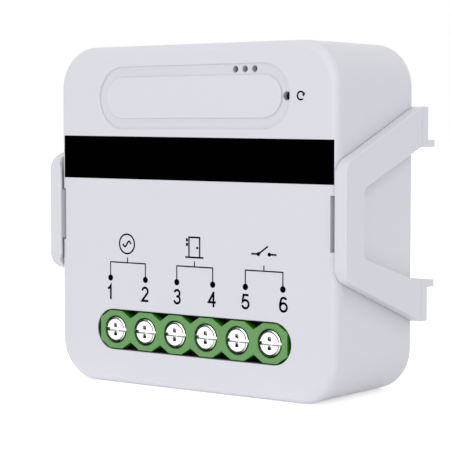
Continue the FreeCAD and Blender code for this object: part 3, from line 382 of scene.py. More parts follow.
def ramp(tree, value, start, end, **settings):
    """0 where the value is start and 1 where it is end, each a socket or a number."""
    inputs = {"Value": value, "From Min": start, "From Max": end}
    return add_node(tree, "MapRange", inputs, **settings).outputs["Result"]


def in_millimetres(tree, value):
    """A length in metres as one in millimetres."""
    return math_node(tree, "DIVIDE", value, MM)


def object_place(tree):
    """The X, Y and Z of Object coordinates."""
    place = add_node(tree, "TexCoord").outputs["Object"]
    return add_node(tree, "SeparateXYZ", {0: place}).outputs


def scaled_place(tree, size, stretch=(1, 1, 1)):
    """Object coordinates divided by a size, and stretched along each axis by a share."""
    place = add_node(tree, "TexCoord").outputs["Object"]
    stretched = add_node(tree, "VectorMath", {0: place, 1: stretch}, operation="MULTIPLY")
    inputs = {0: stretched.outputs["Vector"], "Scale": math_node(tree, "DIVIDE", 1.0, size)}
    return add_node(tree, "VectorMath", inputs, operation="SCALE").outputs["Vector"]


def noise(tree, vector, detail, roughness=0.5):
    """A noise of 0 to 1 with one grain to each unit of the vector."""
    inputs = {"Vector": vector, "Scale": 1.0, "Detail": detail, "Roughness": roughness}
    return add_node(tree, "TexNoise", inputs).outputs["Fac"]


def around_one(tree, value, spread):
    """A value of 0 to 1 spread evenly about one."""
    offset = math_node(tree, "SUBTRACT", value, 0.5)
    return math_node(tree, "ADD", math_node(tree, "MULTIPLY", offset, spread), 1.0)


def new_group(name, inputs, outputs):
    """An empty node group of numbers, its sockets for what it is given and those for its results."""
    group = bpy.data.node_groups.new(name, "ShaderNodeTree")
    for socket, default in inputs.items():
        item = group.interface.new_socket(socket, in_out="INPUT", socket_type="NodeSocketFloat")
        item.default_value = default
    for socket in outputs:
        group.interface.new_socket(socket, in_out="OUTPUT", socket_type="NodeSocketFloat")
    given = group.nodes.new("NodeGroupInput").outputs
    return group, given, group.nodes.new("NodeGroupOutput").inputs


def grain_group(name, stretch):
    """Fine grain in a surface, the same in all directions or drawn out along one axis.

    Height is the grain itself, Shade a multiplier for the colour and Polish one for the roughness.
    """
    inputs = {"Size": 0.2 * MM, "Mottle Size": 6 * MM, "Mottle": 0.03, "Unevenness": 0.1}
    group, given, results = new_group(name, inputs, ("Height", "Shade", "Polish"))
    fine = noise(group, scaled_place(group, given["Size"], stretch), 3.0, 0.6)
    broad = noise(group, scaled_place(group, given["Mottle Size"]), 2.0)
    shade = around_one(group, broad, given["Mottle"])
    polish = around_one(group, broad, given["Unevenness"])
    for socket, value in zip(results, (fine, shade, polish)):
        group.links.new(value, socket)
    return group


def even_grain():
    """Grain of moulded or plated surfaces."""
    return grain_group("even_grain", (1, 1, 1))


def drawn_grain():
    """Grain of rolled and drawn metal."""
    return grain_group("drawn_grain", (1, 1, 0.06))


def turned_marks():
    """Rings left by a lathe, read from a piece's own UV map, whose V runs out from the axis."""
    group, given, results = new_group("turned_marks", {"Ring": 0.06, "Unevenness": 0.3},
                                      ("Height", "Polish"))
    place = add_node(group, "SeparateXYZ", {0: add_node(group, "UVMap").outputs["UV"]}).outputs
    outwards = math_node(group, "DIVIDE", place["Y"], given["Ring"])
    vector = add_node(group, "CombineXYZ", {"X": place["X"], "Y": outwards}).outputs[0]
    rings = noise(group, vector, 2.0)
    group.links.new(rings, results["Height"])
    group.links.new(around_one(group, rings, given["Unevenness"]), results["Polish"])
    return group


def behind_front():
    """How far a place lies behind the front, as 0 at Start and 1 at End, in millimetres.

    It counts only between Foot and Top, and from Clear to Reach on each side of the middle. Foot
    and Top rise with the depth by Slope, and the mask grows over their Fades.
    """
    inputs = {"Start": 0.0, "End": 1.0, "Foot": -5.0, "Foot Fade": 0.6, "Top": 60.0,
              "Top Fade": 0.3, "Slope": 0.0, "Clear": -1.0, "Reach": 30.0}
    group, given, results = new_group("behind_front", inputs, ("Mask",))
    place = object_place(group)
    depth = in_millimetres(group, math_node(group, "SUBTRACT", place["Y"], FRONT))
    rise = math_node(group, "MULTIPLY", depth, given["Slope"])
    height = math_node(group, "SUBTRACT", in_millimetres(group, place["Z"]), rise)
    aside = in_millimetres(group, math_node(group, "ABSOLUTE", place["X"]))
    mask = ramp(group, depth, given["Start"], given["End"])
    for value, limit, operation, fade in (
            (height, "Foot", "ADD", given["Foot Fade"]), (height, "Top", "SUBTRACT", given["Top Fade"]),
            (aside, "Clear", "ADD", SIDE_FADE), (aside, "Reach", "SUBTRACT", SIDE_FADE)):
        full = math_node(group, operation, given[limit], fade)
        mask = math_node(group, "MULTIPLY", mask, ramp(group, value, given[limit], full))
    group.links.new(mask, results["Mask"])
    return group


def hole_rims():
    """Mask of painted shade round each screw hole: 1 at its edge and 0 at Outer, from the way out
    from the nearest axis.

    The nearest axis is found by wrapping X into one pitch of the poles, in millimetres.
    """
    inputs = {"Pitch": POLE_PITCH, "Level": 0.0, "Inner": RIM_INNER, "Outer": RIM_OUTER}
    group, given, results = new_group("hole_rims", inputs, ("Mask",))
    place = object_place(group)
    turns = math_node(group, "DIVIDE", in_millimetres(group, place["X"]), given["Pitch"])
    wrapped = math_node(group, "SUBTRACT", math_node(group, "FRACT", turns), 0.5)
    aside = math_node(group, "MULTIPLY", wrapped, given["Pitch"])
    above = math_node(group, "SUBTRACT", in_millimetres(group, place["Z"]), given["Level"])
    squares = [math_node(group, "POWER", way, 2.0) for way in (aside, above)]
    out = math_node(group, "SQRT", math_node(group, "ADD", *squares))
    rim = ramp(group, out, given["Outer"], given["Inner"], interpolation_type="SMOOTHSTEP")
    group.links.new(rim, results["Mask"])
    return group


def place_group(material, make_group, **values):
    """The outputs of a node group in a material. It bears its maker's name and is made only once."""
    group = bpy.data.node_groups.get(make_group.__name__) or make_group()
    inputs = {name.replace("_", " "): value for name, value in values.items()}
    return add_node(material.node_tree, "Group", inputs, node_tree=group).outputs


# Materials


def shader_inputs(material):
    """The sockets of the material's own shader."""
    return material.node_tree.nodes["Principled BSDF"].inputs


def new_material(name, **shader):
    """A material with values for its shader's own sockets."""
    material = bpy.data.materials.new(name)
    material.use_nodes = True
    for socket, value in shader.items():
        shader_inputs(material)[socket.replace("_", " ")].default_value = value
    return material


def tinted(material, colour, shade):
    """Link a colour, made lighter and darker by a shade of about 1, to the shader."""
    tree = material.node_tree
    mixed = add_node(tree, "VectorMath", {0: colour[:3], "Scale": shade}, operation="SCALE")
    tree.links.new(mixed.outputs["Vector"], shader_inputs(material)["Base Color"])


def textured(material, marks, roughness, depth):
    """Link the polish and the height of a group's marks to the shader."""
    tree = material.node_tree
    uneven = math_node(tree, "MULTIPLY", marks["Polish"], roughness)
    tree.links.new(uneven, shader_inputs(material)["Roughness"])
    bump = add_node(tree, "Bump", {"Strength": 1.0, "Distance": depth, "Height": marks["Height"]})
    tree.links.new(bump.outputs["Normal"], shader_inputs(material)["Normal"])


def soft_edges(material, radius):
    """Round the shading of sharp edges, as a mould leaves them, under the material's bump."""
    tree = material.node_tree
    rounded = add_node(tree, "Bevel", {"Radius": radius}, samples=8)
    tree.links.new(rounded.outputs["Normal"], tree.nodes["Bump"].inputs["Normal"])


def shaded_where(material, mask, steps):
    """Multiply the shader's colour by a ramp of colours over a mask, as (mask, colour) steps."""
    tree = material.node_tree
    target = shader_inputs(material)["Base Color"]
    colours = add_node(tree, "ValToRGB", {"Fac": mask})
    elements = colours.color_ramp.elements
    for element, (place, colour) in zip(elements, (steps[0], steps[-1])):
        element.position = place
        element.color = (*colour, 1)
    for place, colour in steps[1:-1]:
        elements.new(place).color = (*colour, 1)
    factors = {0: target.links[0].from_socket, 1: colours.outputs["Color"]}
    product = add_node(tree, "VectorMath", factors, operation="MULTIPLY")
    tree.links.new(product.outputs["Vector"], target)


def in_shade(material, limits, steps):
    """Darken the shader's colour in the place that the limits give, by (mask, shade) steps."""
    deep = place_group(material, behind_front, **limits)
    greys = [(place, (shade, shade, shade)) for place, shade in steps]
    shaded_where(material, deep["Mask"], ((0.0, (1, 1, 1)), *greys))


def grained_material(name, colour, roughness, grain, depth, group=even_grain, mottle=0.03,
                     mottle_size=6 * MM, unevenness=0.15, **shader):
    """A surface with fine grain, slight mottling and uneven polish."""
    material = new_material(name, **shader)
    marks = place_group(material, group, Size=grain, Mottle_Size=mottle_size, Mottle=mottle,
                        Unevenness=unevenness)
    tinted(material, colour, marks["Shade"])
    textured(material, marks, roughness, depth)
    return material


def case_plastic(name, shades):
    """Satin white plastic, in shade in the places that are given."""
    case = bpy.context.scene.controller_case
    material = grained_material(name, case.colour, case.roughness, case.grain, case.grain_depth,
                                mottle=0.012, mottle_size=9 * MM)
    for limits, steps in shades:
        in_shade(material, limits, steps)
    return material


def bracket_finish():
    """The case's plastic with painted shade beside the case, and the mould's soft edges."""
    material = case_plastic("bracket_finish", [BRACKET_SHADE])
    soft_edges(material, bpy.context.scene.controller_case.edge)
    return material


def ink_finish():
    """Matt ink, the same for every print."""
    ink = bpy.context.scene.controller_print
    return bpy.data.materials.get("ink_finish") or grained_material(
        "ink_finish", ink.ink, roughness=0.6, grain=0.1 * MM, depth=0.001 * MM, mottle=0.1,
        Specular_IOR_Level=0.0)


def terminal_finish():
    """Green plastic with painted shade down the gaps round and between the towers,
    and round the screw holes.
    """
    terminal = bpy.context.scene.controller_terminal
    material = grained_material("terminal_finish", terminal.colour, terminal.roughness,
                                grain=0.25 * MM, depth=0.002 * MM, mottle=0.04, mottle_size=3 * MM,
                                Specular_IOR_Level=0.3)
    deep = place_group(material, behind_front, **TERMINAL_SHADE_DEPTH)
    shaded_where(material, deep["Mask"], TERMINAL_SHADE_STEPS)
    low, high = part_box("terminal_screw_1")
    rims = place_group(material, hole_rims, Level=(low.z + high.z) / 2 / MM)
    shaded_where(material, rims["Mask"], RIM_SHADE_STEPS)
    soft_edges(material, terminal.edge)
    return material


def screw_finish():
    """Bright plate over turned steel, darkened by painted shade that the piece carries as an attribute."""
    material = new_material("screw_finish", Metallic=1.0)
    stain = place_group(material, even_grain, Size=0.05 * MM, Mottle_Size=0.5 * MM, Mottle=0.06,
                        Unevenness=0.2)
    tinted(material, SCREW_COLOUR, stain["Shade"])
    soot = add_node(material.node_tree, "Attribute", attribute_name="soot")
    shaded_where(material, soot.outputs["Fac"], PAINTED_SHADE_STEPS)
    rings = place_group(material, turned_marks, Ring=0.05, Unevenness=0.4)
    textured(material, rings, roughness=0.2, depth=0.0015 * MM)
    return material


def inner_finishes():
    """The finishes of what is inside the case, by the record's material slot."""
    made = {slot: grained_material(slot + "_finish", *look, grain=0.12 * MM, depth=0.0015 * MM,
                                   mottle=0.08, mottle_size=1.5 * MM)
            for slot, look in PLASTICS.items()}
    made.update({slot: grained_material(slot + "_finish", *look, grain=0.08 * MM, depth=0.001 * MM,
                                        group=drawn_grain, mottle=0.06, mottle_size=1.2 * MM,
                                        unevenness=0.35, Metallic=1.0)
                 for slot, look in METALS.items()})
    made["clear_plastic"] = made["fuse_glass"] = grained_material(
        "clear_finish", *CLEAR, grain=0.4 * MM, depth=0.0005 * MM, mottle=0.02,
        Transmission_Weight=0.9, IOR=1.49)
    return made


def give_finish(material, *nodes):
    """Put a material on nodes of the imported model."""
    for node in nodes:
        frame["nodes"][node].material_slots[0].material = material


# Surfaces


def grid_faces(rows, columns):
    """Quads between neighbouring rows, and columns whose last joins the first."""
    row, column = np.meshgrid(np.arange(rows - 1), np.arange(columns), indexing="ij")
    beside = (column + 1) % columns
    return np.stack([row * columns + column, row * columns + beside,
                     (row + 1) * columns + beside, (row + 1) * columns + column], -1).reshape(-1, 4)


def capped_faces(rows, columns):
    """The quads of a closed tube, and a cap on its first and on its last row."""
    last = columns * (rows - 1)
    caps = [list(range(columns)), list(range(last + columns - 1, last - 1, -1))]
    return grid_faces(rows, columns).tolist() + caps


def joined(surfaces):
    """Several (points, faces) surfaces as one."""
    points, faces, count = [], [], 0
    for some_points, some_faces in surfaces:
        points.append(some_points)
        faces += [[index + count for index in face] for face in some_faces]
        count += len(some_points)
    return np.concatenate(points), faces


def link_object(name, data):
    """A new object in the scene."""
    thing = bpy.data.objects.new(name, data)
    bpy.context.scene.collection.objects.link(thing)
    return thing


def add_piece(name, points, faces, body, material, slot=None, uv=None, soot=None):
    """Make a closed mesh of grid points, with outward faces and smooth shading, riding on a body."""
    mesh = bpy.data.meshes.new(name)
    mesh.from_pydata(points.tolist(), [], [list(map(int, face)) for face in faces])
    if uv is not None:
        layer = mesh.uv_layers.new(name="profile")
        corners = np.empty(len(mesh.loops), np.int32)
        mesh.loops.foreach_get("vertex_index", corners)
        layer.data.foreach_set("uv", uv[corners].astype(np.float32).ravel())
    # The screw's painted shade goes in as a point attribute that its material reads
    if soot is not None:
        mesh.attributes.new("soot", "FLOAT", "POINT").data.foreach_set("value", soot.astype(np.float32))
    work = bmesh.new()
    work.from_mesh(mesh)
    bmesh.ops.remove_doubles(work, verts=work.verts, dist=WELD)
    bmesh.ops.dissolve_degenerate(work, edges=work.edges, dist=WELD)
    bmesh.ops.recalc_face_normals(work, faces=work.faces)
    work.to_mesh(mesh)
    work.free()
    mesh.shade_smooth()
    mesh.set_sharp_from_angle(angle=SHARP_EDGE)
    mesh.materials.append(material)
    piece = link_object(name, mesh)
    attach(piece, body)
    return piece


def ink_lift(thickness):
    """How far the corners of an ink bar's section stand on the case: two at its back, two in front."""
    return np.array([0, 0, 1, 1]) * thickness - INK_ROOT


def ink_height(ink, layer=0):
    """The ink's thickness in a layer, where each layer covers the one before."""
    return ink.thickness * (1 + INK_STEP * layer)


def band_surface(settings):
    """A thin film on the front face that bends with the rounded edge at each side.

    Its top and bottom edges fall by the tangent of their tilt times X. Y is flat across the
    front. Past the flat it follows a quarter round of the edge's radius: the radius less the
    root of its square less the square of the way past the flat.
    """
    flat = CASE_HIGH.x - FRONT_FILLET
    bend = np.linspace(flat, settings.band_reach, 9)
    x = np.concatenate([-bend[::-1] + settings.band_shift, [0], bend + settings.band_shift])
    past = np.maximum(np.abs(x) - flat, 0)
    back = FRONT_FILLET - np.sqrt(FRONT_FILLET ** 2 - past ** 2)
    bottom, top = CASE_MIDDLE_Z + settings.band_bottom, CASE_MIDDLE_Z + settings.band_top
    falls = x[:, None] * np.tan([settings.band_bottom_tilt, settings.band_top_tilt])
    levels = np.array([bottom, top, top, bottom]) - falls[:, [0, 1, 1, 0]]
    points = np.stack([np.repeat(x[:, None], 4, 1),
                       FRONT + back[:, None] - ink_lift(settings.thickness), levels], -1)
    return points.reshape(-1, 3), capped_faces(len(x), 4)


def stroke(route, width, thickness):
    """A flat bar of ink along a route of (x, z) points, its corners mitred.

    The section is a rectangle of the line's width and the ink's thickness, carried along the
    route square to the line that halves the turn at each point.
    """
    route = np.asarray(route, float)
    runs = np.diff(route, axis=0)
    runs /= np.linalg.norm(runs, axis=1)[:, None]
    before = np.vstack([runs[:1], runs])
    after = np.vstack([runs, runs[-1:]])
    along = before + after
    along /= np.linalg.norm(along, axis=1)[:, None]
    across = np.stack([-along[:, 1], along[:, 0]], -1)
    reach = width / 2 / np.maximum(np.sum(along * before, axis=1), MITRE_LIMIT)
    sides = np.array([-1, 1, 1, -1])
    rings = route[:, None, :] + across[:, None, :] * (reach[:, None] * sides)[:, :, None]
    depth = np.broadcast_to(FRONT - ink_lift(thickness), rings.shape[:2])
    points = np.stack([rings[..., 0], depth, rings[..., 1]], -1)
    return points.reshape(-1, 3), capped_faces(len(rings), 4)


def hoop(x, z, radius, width, thickness):
    """A closed ring of ink: circles of two radii, each at the case and at the ink's face."""
    angle = np.linspace(0, 2 * np.pi, CIRCLE_SIDES, endpoint=False)[:, None]
    radii = radius + width / 2 * np.array([-1, 1, 1, -1])
    depth = np.broadcast_to(FRONT - ink_lift(thickness), (CIRCLE_SIDES, 4))
    points = np.stack([x + radii * np.cos(angle), depth, z + radii * np.sin(angle)], -1)
    return points.reshape(-1, 3), (grid_faces(CIRCLE_SIDES + 1, 4) % (4 * CIRCLE_SIDES)).tolist()


def patch(outline, thickness):
    """A flat spot of ink inside a convex outline of (x, z) points, at the case and at its face."""
    outline = np.asarray(outline, float)
    points = [np.stack([outline[:, 0], np.full(len(outline), FRONT - lift), outline[:, 1]], -1)
              for lift in ink_lift(thickness)[1:3]]
    return np.concatenate(points), capped_faces(2, len(outline))


def arc(x, z, radius, start, end, count=24):
    """Points of an arc about x, z from one angle in degrees to another."""
    angle = np.radians(np.linspace(start, end, count))
    return np.stack([x + radius * np.cos(angle), z + radius * np.sin(angle)], -1)


def dot(x, z, radius, thickness):
    """A round spot of ink: a full circle of even steps."""
    return patch(arc(x, z, radius, 0, 360 - 360 / CIRCLE_SIDES, CIRCLE_SIDES), thickness)


def digit_routes():
    """Each number's strokes as routes of (x, z) in shares of the number's height, about its middle."""
    return {
        1: [[(-0.20, 0.21), (-0.05, 0.28), (0.06, 0.42), (0.06, -0.5)]],
        2: [np.vstack([arc(0, 0.205, 0.235, 172, -32), [(-0.25, -0.44), (0.28, -0.44)]])],
        3: [np.vstack([arc(-0.005, 0.225, 0.215, 165, -75), [(-0.07, 0.015)]]),
            np.vstack([[(-0.03, 0.012)], arc(-0.01, -0.2, 0.24, 72, -170)])],
        4: [[(0.115, 0.43), (-0.27, -0.19), (0.30, -0.19)], [(0.115, 0.5), (0.115, -0.5)]],
        5: [np.vstack([[(0.25, 0.44), (-0.15, 0.44), (-0.21, 0.02)],
                       arc(0, -0.145, 0.26, 128, -165)])],
        6: [np.vstack([arc(0.02, 0.2, 0.235, 30, 140, 14), arc(0.24, -0.04, 0.5, 155, 185, 8),
                       arc(0.005, -0.165, 0.258, 175, 520, 48)])],
    }


def reset_sign(x, z, ink):
    """A turning arrow: most of a circle, and a pointed head at its end."""
    radius, half_head, start, end, tip = 0.5 * MM, 0.3 * MM, 310, 30, -16
    corners = ((radius, tip), (radius - half_head, end), (radius + half_head, end))
    head = [arc(x, z, way, angle, angle, 1)[0] for way, angle in corners]
    return [stroke(arc(x, z, radius, start, end, 40), ink.sign_width, ink_height(ink)),
            patch(head, ink_height(ink, 1))]


def mains_sign(x, z, ink):
    """A circle round one wave of alternating current."""
    radius, reach, swing = 1.3 * MM, 0.72 * MM, 0.36 * MM
    along = np.linspace(-1, 1, 33)
    wave = np.stack([x + reach * along, z + swing * np.sin(np.pi * along)], -1)
    return [hoop(x, z, radius, ink.sign_width, ink_height(ink)),
            stroke(wave, ink.sign_width * 1.1, ink_height(ink))]


def door_sign(x, z, ink):
    """A door in its frame, with a knob and the two halves of a contact beside it."""
    left, right, top, foot = x - 0.88 * MM, x + 0.88 * MM, z + 1.3 * MM, z - 1.3 * MM
    sill, knob, knob_radius = 1.496 * MM, (x + 0.48 * MM, z - 0.05 * MM), 0.18 * MM
    contact, halves, half_length = left - 0.34 * MM, (0.35 * MM, 0.95 * MM), 0.2 * MM
    jambs = [(left, foot), (left, top), (right, top), (right, foot)]
    surfaces = [stroke(jambs, ink.sign_width, ink_height(ink)),
                stroke([(x - sill, foot), (x + sill, foot)], ink.sign_width, ink_height(ink, 1)),
                dot(*knob, knob_radius, ink_height(ink))]
    for middle in halves:
        ends = [(contact, z + middle + way) for way in (-half_length, half_length)]
        surfaces.append(stroke(ends, ink.sign_width * 1.5, ink_height(ink)))
    return surfaces


def contact_sign(x, z, ink):
    """An open contact: two leads that end in dots, and a blade raised from the left dot."""
    level, inner, outer, dot_radius = z - 0.4 * MM, 0.85 * MM, 1.95 * MM, 0.26 * MM
    blade_end = (x + 0.62 * MM, z + 0.62 * MM)
    leads = [stroke(lead, ink.sign_width, ink_height(ink)) for lead in (
        [(x - outer, level), (x - inner, level)], [(x + inner, level), (x + outer, level)])]
    blade = stroke([(x - inner, level), blade_end], ink.sign_width, ink_height(ink, 1))
    return [*leads, blade, *(dot(x + side * inner, level, dot_radius, ink_height(ink, 2))
                             for side in (-1, 1))]


def quarter_columns(settings, radius):
    """Columns in a quarter of the head: angles for each radius, how deep they are, where shade is painted.

    Columns follow the walls of the slot and of the cross. A wall's angle is the arc sine of its
    distance from the middle over the radius, so both walls stay straight on a polar grid.
    """
    slot, cross = settings.slot_width / 2, settings.cross_width / 2
    batter, chamfer, sill = 0.02 * MM, 0.045 * MM, 0.02 * MM

    def lean(distance):
        return np.arcsin(np.clip(distance / radius, 0, 1))

    slot_edge, cross_edge = lean(slot), np.pi / 2 - lean(cross)
    middle = (slot_edge + cross_edge) / 2
    low = np.minimum(lean(slot + chamfer), middle)
    high = np.maximum(np.pi / 2 - lean(cross + chamfer), middle)
    slot_sill, cross_sill = lean(slot - batter - sill), np.pi / 2 - lean(cross - batter - sill)
    face = [low + (high - low) * share for share in np.linspace(0, 1, 8)]
    angles = [0 * radius, slot_sill / 2, slot_sill, lean(slot - batter), slot_edge, *face, cross_edge,
              np.pi / 2 - lean(cross - batter), cross_sill, (cross_sill + np.pi / 2) / 2]
    past_slot, before_cross = [0] * (len(face) + 4), [0] * (len(face) + 5)
    in_slot = [1, 1, 1, 1, EDGE_BREAK] + past_slot
    in_cross = before_cross + [EDGE_BREAK, 1, 1, 1]
    slot_wall = [0, 0, 0, 1, 1] + past_slot
    cross_wall = before_cross + [1, 1, 0, 0]
    return np.stack(angles, -1), (in_slot, in_cross, slot_wall, cross_wall)


def all_round(quarter_angles, columns, at_cross):
    """A quarter's columns mirrored about the cross and then repeated on the other half."""
    half = np.concatenate([quarter_angles, np.full((len(quarter_angles), 1), np.pi / 2),
                           np.pi - quarter_angles[:, :0:-1]], 1)
    round_columns = [np.tile(np.concatenate([values, [middle], values[:0:-1]]), 2)
                     for values, middle in zip(columns, at_cross)]
    return np.concatenate([half, half + np.pi], 1), round_columns


def head_soot(angle, radius, share, slot, cross, slot_wall, cross_wall):
    """Painted shade on the head: the most on the slot's walls, in the cross and round the rim.

    In the cross it follows the share of the cross's half length, and round the rim the angle,
    because the upper right catches light.
    """
    upper = np.sin(angle) > 0

    def by_half(tables):
        above, below = (np.interp(share, *table) for table in tables)
        return np.where(upper, above, below)

    in_cross = (share < 1) * (cross > EDGE_BREAK) * (slot < EDGE_BREAK)
    cross_painted_shade = np.where(cross_wall > 0, by_half(CROSS_WALL_PAINTED_SHADE), by_half(CROSS_FLOOR_PAINTED_SHADE)) * in_cross
    soot = np.maximum(slot_wall * np.where(upper, *SLOT_PAINTED_SHADE), cross_painted_shade)
    soot[0] = 0
    degrees = np.degrees(angle) % 360
    in_groove = (radius > HEAD_FACE) * (radius <= GROOVE_RADII[2])
    rim = np.where(radius > GROOVE_RADII[-1], np.interp(degrees, *BEVEL_PAINTED_SHADE),
                   in_groove * np.interp(degrees, *GROOVE_PAINTED_SHADE))
    return np.maximum(soot, rim * (slot < EDGE_BREAK))


def head_face(settings):
    """The face of a head: angle, radius, depth and painted shade of each point, in rows out to the rim.

    Depth is the deepest of the slot's floor, the cross's falling floor and the head's own
    profile: flat, a fine turned groove, then a bevel to the rim. Rows lie close on both sides of
    the corners where the slot meets the cross, and of the cross's end.
    """
    cross_end = settings.cross_length / 2
    corner = math.hypot(settings.slot_width, settings.cross_width) / 2
    face = np.concatenate([[corner * 0.9], np.linspace(corner * 1.04, cross_end, 12),
                           np.linspace(cross_end + 0.02 * MM, HEAD_FACE, 8)])
    radius = np.concatenate([face, GROOVE_RADII, BEVEL_RADII, [HEAD_RADIUS]])
    profile = np.concatenate([np.zeros(len(face)), GROOVE_DEPTHS, BEVEL_DEPTHS, [RIM_DEPTH]])
    quarter, columns = quarter_columns(settings, radius)
    angle, (slot, cross, slot_wall, cross_wall) = all_round(quarter, columns, (0, 1, 0, 0))
    share = radius / cross_end
    end_slope = np.clip((cross_end - radius) / CROSS_END, 0, 1)
    cross_floor = (settings.cross_depth * (1 - CROSS_RISE * share) * end_slope)[:, None] * cross
    depth = np.maximum(profile[:, None], np.maximum(settings.slot_depth * slot, cross_floor))
    depth[0] = settings.slot_depth
    radius, share = (np.broadcast_to(rows[:, None], angle.shape) for rows in (radius, share))
    return angle, radius, depth, head_soot(angle, radius, share, slot, cross, slot_wall, cross_wall)


def screw_surface(settings, low, high):
    """A screw as one grid from the middle of its face, over the rim and down the thread.

    Columns are angles about the axis and rows go along the profile. On the shank the radius is
    less the cosine of the turn, which is the way down over the pitch less the angle over a full
    turn. The thread grows over its first pitch and the end is pointed.
    """
    middle = (low + high) / 2
    angle, radius, depth, soot = head_face(settings)
    rim_angle = angle[-1:]
    flat = np.ones(rim_angle.shape)
    head_back = low.y + HEAD_HEIGHT
    side_y = low.y + depth[-1:] + (head_back - low.y - depth[-1:]) * SIDE_SHARES[:, None]
    shank_y = np.linspace(head_back, high.y, SHANK_ROWS)[:, None] * flat
    turn = (shank_y - head_back) / settings.thread_pitch - rim_angle / (2 * np.pi)
    ease = np.clip((shank_y - head_back) / settings.thread_pitch, 0, 1)
    point = 1 - np.clip((high.y - shank_y) / POINT_LENGTH, 0, 1)
    shank_radius = SHANK_RADIUS - THREAD_WAVE * (1 + np.cos(2 * np.pi * turn)) * ease - POINT_DEPTH * point

    sides = np.ones(side_y.shape)
    rows_radius = np.concatenate([0 * flat, radius, HEAD_RADIUS * sides, shank_radius, 0 * flat])
    rows_y = np.concatenate([(low.y + settings.slot_depth) * flat, low.y + depth, side_y, shank_y,
                             high.y * flat])
    rows_angle = np.concatenate([angle[:1], angle, np.repeat(rim_angle, len(sides) + SHANK_ROWS + 1, 0)])
    # Painted shade: the head's own, darker on the head's side and a little on the shank
    rows_painted_shade = np.concatenate([0 * flat, soot, SIDE_PAINTED_SHADE * sides,
                                SHANK_PAINTED_SHADE * np.ones((SHANK_ROWS + 1, flat.size))])
    points = np.stack([middle.x + rows_radius * np.cos(rows_angle), rows_y,
                       middle.z + rows_radius * np.sin(rows_angle)], -1)
    way = np.concatenate([[0], np.cumsum(np.hypot(np.diff(rows_radius[:, 0]), np.diff(rows_y[:, 0])))])
    profile = np.stack([rows_angle / (2 * np.pi), np.repeat(way[:, None] / MM, flat.size, 1)], -1)
    return (points.reshape(-1, 3), grid_faces(*rows_radius.shape), profile.reshape(-1, 2),
            rows_painted_shade.ravel())


def lip_surface(side, inner):
    """A rim along an arm's front edge that closes on the case's rounded edge.

    Its section is carried up the front edge and round the start of the nose at each end. There
    the way back along Y is the nose's radius times one less the cosine of the turn, and the way
    on along Z the radius times its sine. The section leans with the turn, and runs out with the
    square of its share of the whole turn.
    """
    turn = np.radians(np.linspace(0, LIP_TURN, 7))
    turns = np.concatenate([-turn[::-1], turn])
    ends = np.repeat([ARM_FRONT_BOTTOM, ARM_FRONT_TOP], len(turn))
    share, depth = np.array(LIP_SECTION).T
    width = (LIP_OUTER - inner) - (LIP_END - inner) * (turns[:, None] / turn[-1]) ** 2
    reach = ARM_NOSE - ARM_FORWARD - depth
    back = ARM_NOSE - ARM_FORWARD - reach * np.cos(turns)[:, None]
    height = ends[:, None] + reach * np.sin(turns)[:, None]
    across = side * (LIP_OUTER - share * width)
    points = np.stack([across * MM, FRONT + back * MM, CASE_MIDDLE_Z + height * MM], -1)
    return points.reshape(-1, 3), capped_faces(len(turns), len(share))


# Operators


class CONTROLLER_OT_finish_case(bpy.types.Operator):
    """Give the case, its cover and the bracket their moulded finish and painted shade"""
    bl_idname = "controller.finish_case"
    bl_label = "Finish case and bracket"

    def execute(self, context):
        give_finish(case_plastic("case_finish", CASE_SHADES.values()), "front_housing", "rear_cover")
        give_finish(bracket_finish(), "bracket_plate", "bracket_arm_left", "bracket_arm_right")
        return {"FINISHED"}


class CONTROLLER_OT_build_lips(bpy.types.Operator):
    """Build the lip along the front edge of each bracket arm"""
    bl_idname = "controller.build_lips"
    bl_label = "Build arm lips"

    def execute(self, context):
        material = case_plastic("lip_finish", [BRACKET_SHADE])
        for side, name in ((-1, "left"), (1, "right")):
            add_piece(f"arm_lip_{name}", *lip_surface(side, LIP_INNER[name]), f"arm_{name}", material,
                      "bracket_plastic")
        return {"FINISHED"}


class CONTROLLER_OT_finish_terminal(bpy.types.Operator):
    """Give the terminal block its finish and painted shade"""
    bl_idname = "controller.finish_terminal"
    bl_label = "Finish terminal"

    def execute(self, context):
        give_finish(terminal_finish(), "terminal_block")
        return {"FINISHED"}


class CONTROLLER_OT_finish_electronics(bpy.types.Operator):
    """Give every piece inside the case the finish of its material slot"""
    bl_idname = "controller.finish_electronics"
    bl_label = "Finish electronics"

    def execute(self, context):
        finishes = inner_finishes()
        for part in frame["record"]["subparts"]:
            if part["material_slot"] in finishes:
                give_finish(finishes[part["material_slot"]], part["node"])
        return {"FINISHED"}


class CONTROLLER_OT_build_screws(bpy.types.Operator):
    """Build the six terminal screws with slot, cross recess, thread and painted shade"""
    bl_idname = "controller.build_screws"
    bl_label = "Build screws"

    def execute(self, context):
        material = screw_finish()
        for pole in range(1, POLES + 1):
            node = f"terminal_screw_{pole}"
            points, faces, uv, soot = screw_surface(context.scene.controller_screw, *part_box(node))
            piece = add_piece(f"screw_{pole}", points, faces, f"screw_{pole}", material, "screw_steel",
                              uv, soot)
            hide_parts(node)
        return {"FINISHED"}


class CONTROLLER_OT_print_band(bpy.types.Operator):
    """Print the black band across the front"""
    bl_idname = "controller.print_band"
    bl_label = "Print band"

    def execute(self, context):
        add_piece("printed_band", *band_surface(context.scene.controller_print), "case", ink_finish())
        return {"FINISHED"}


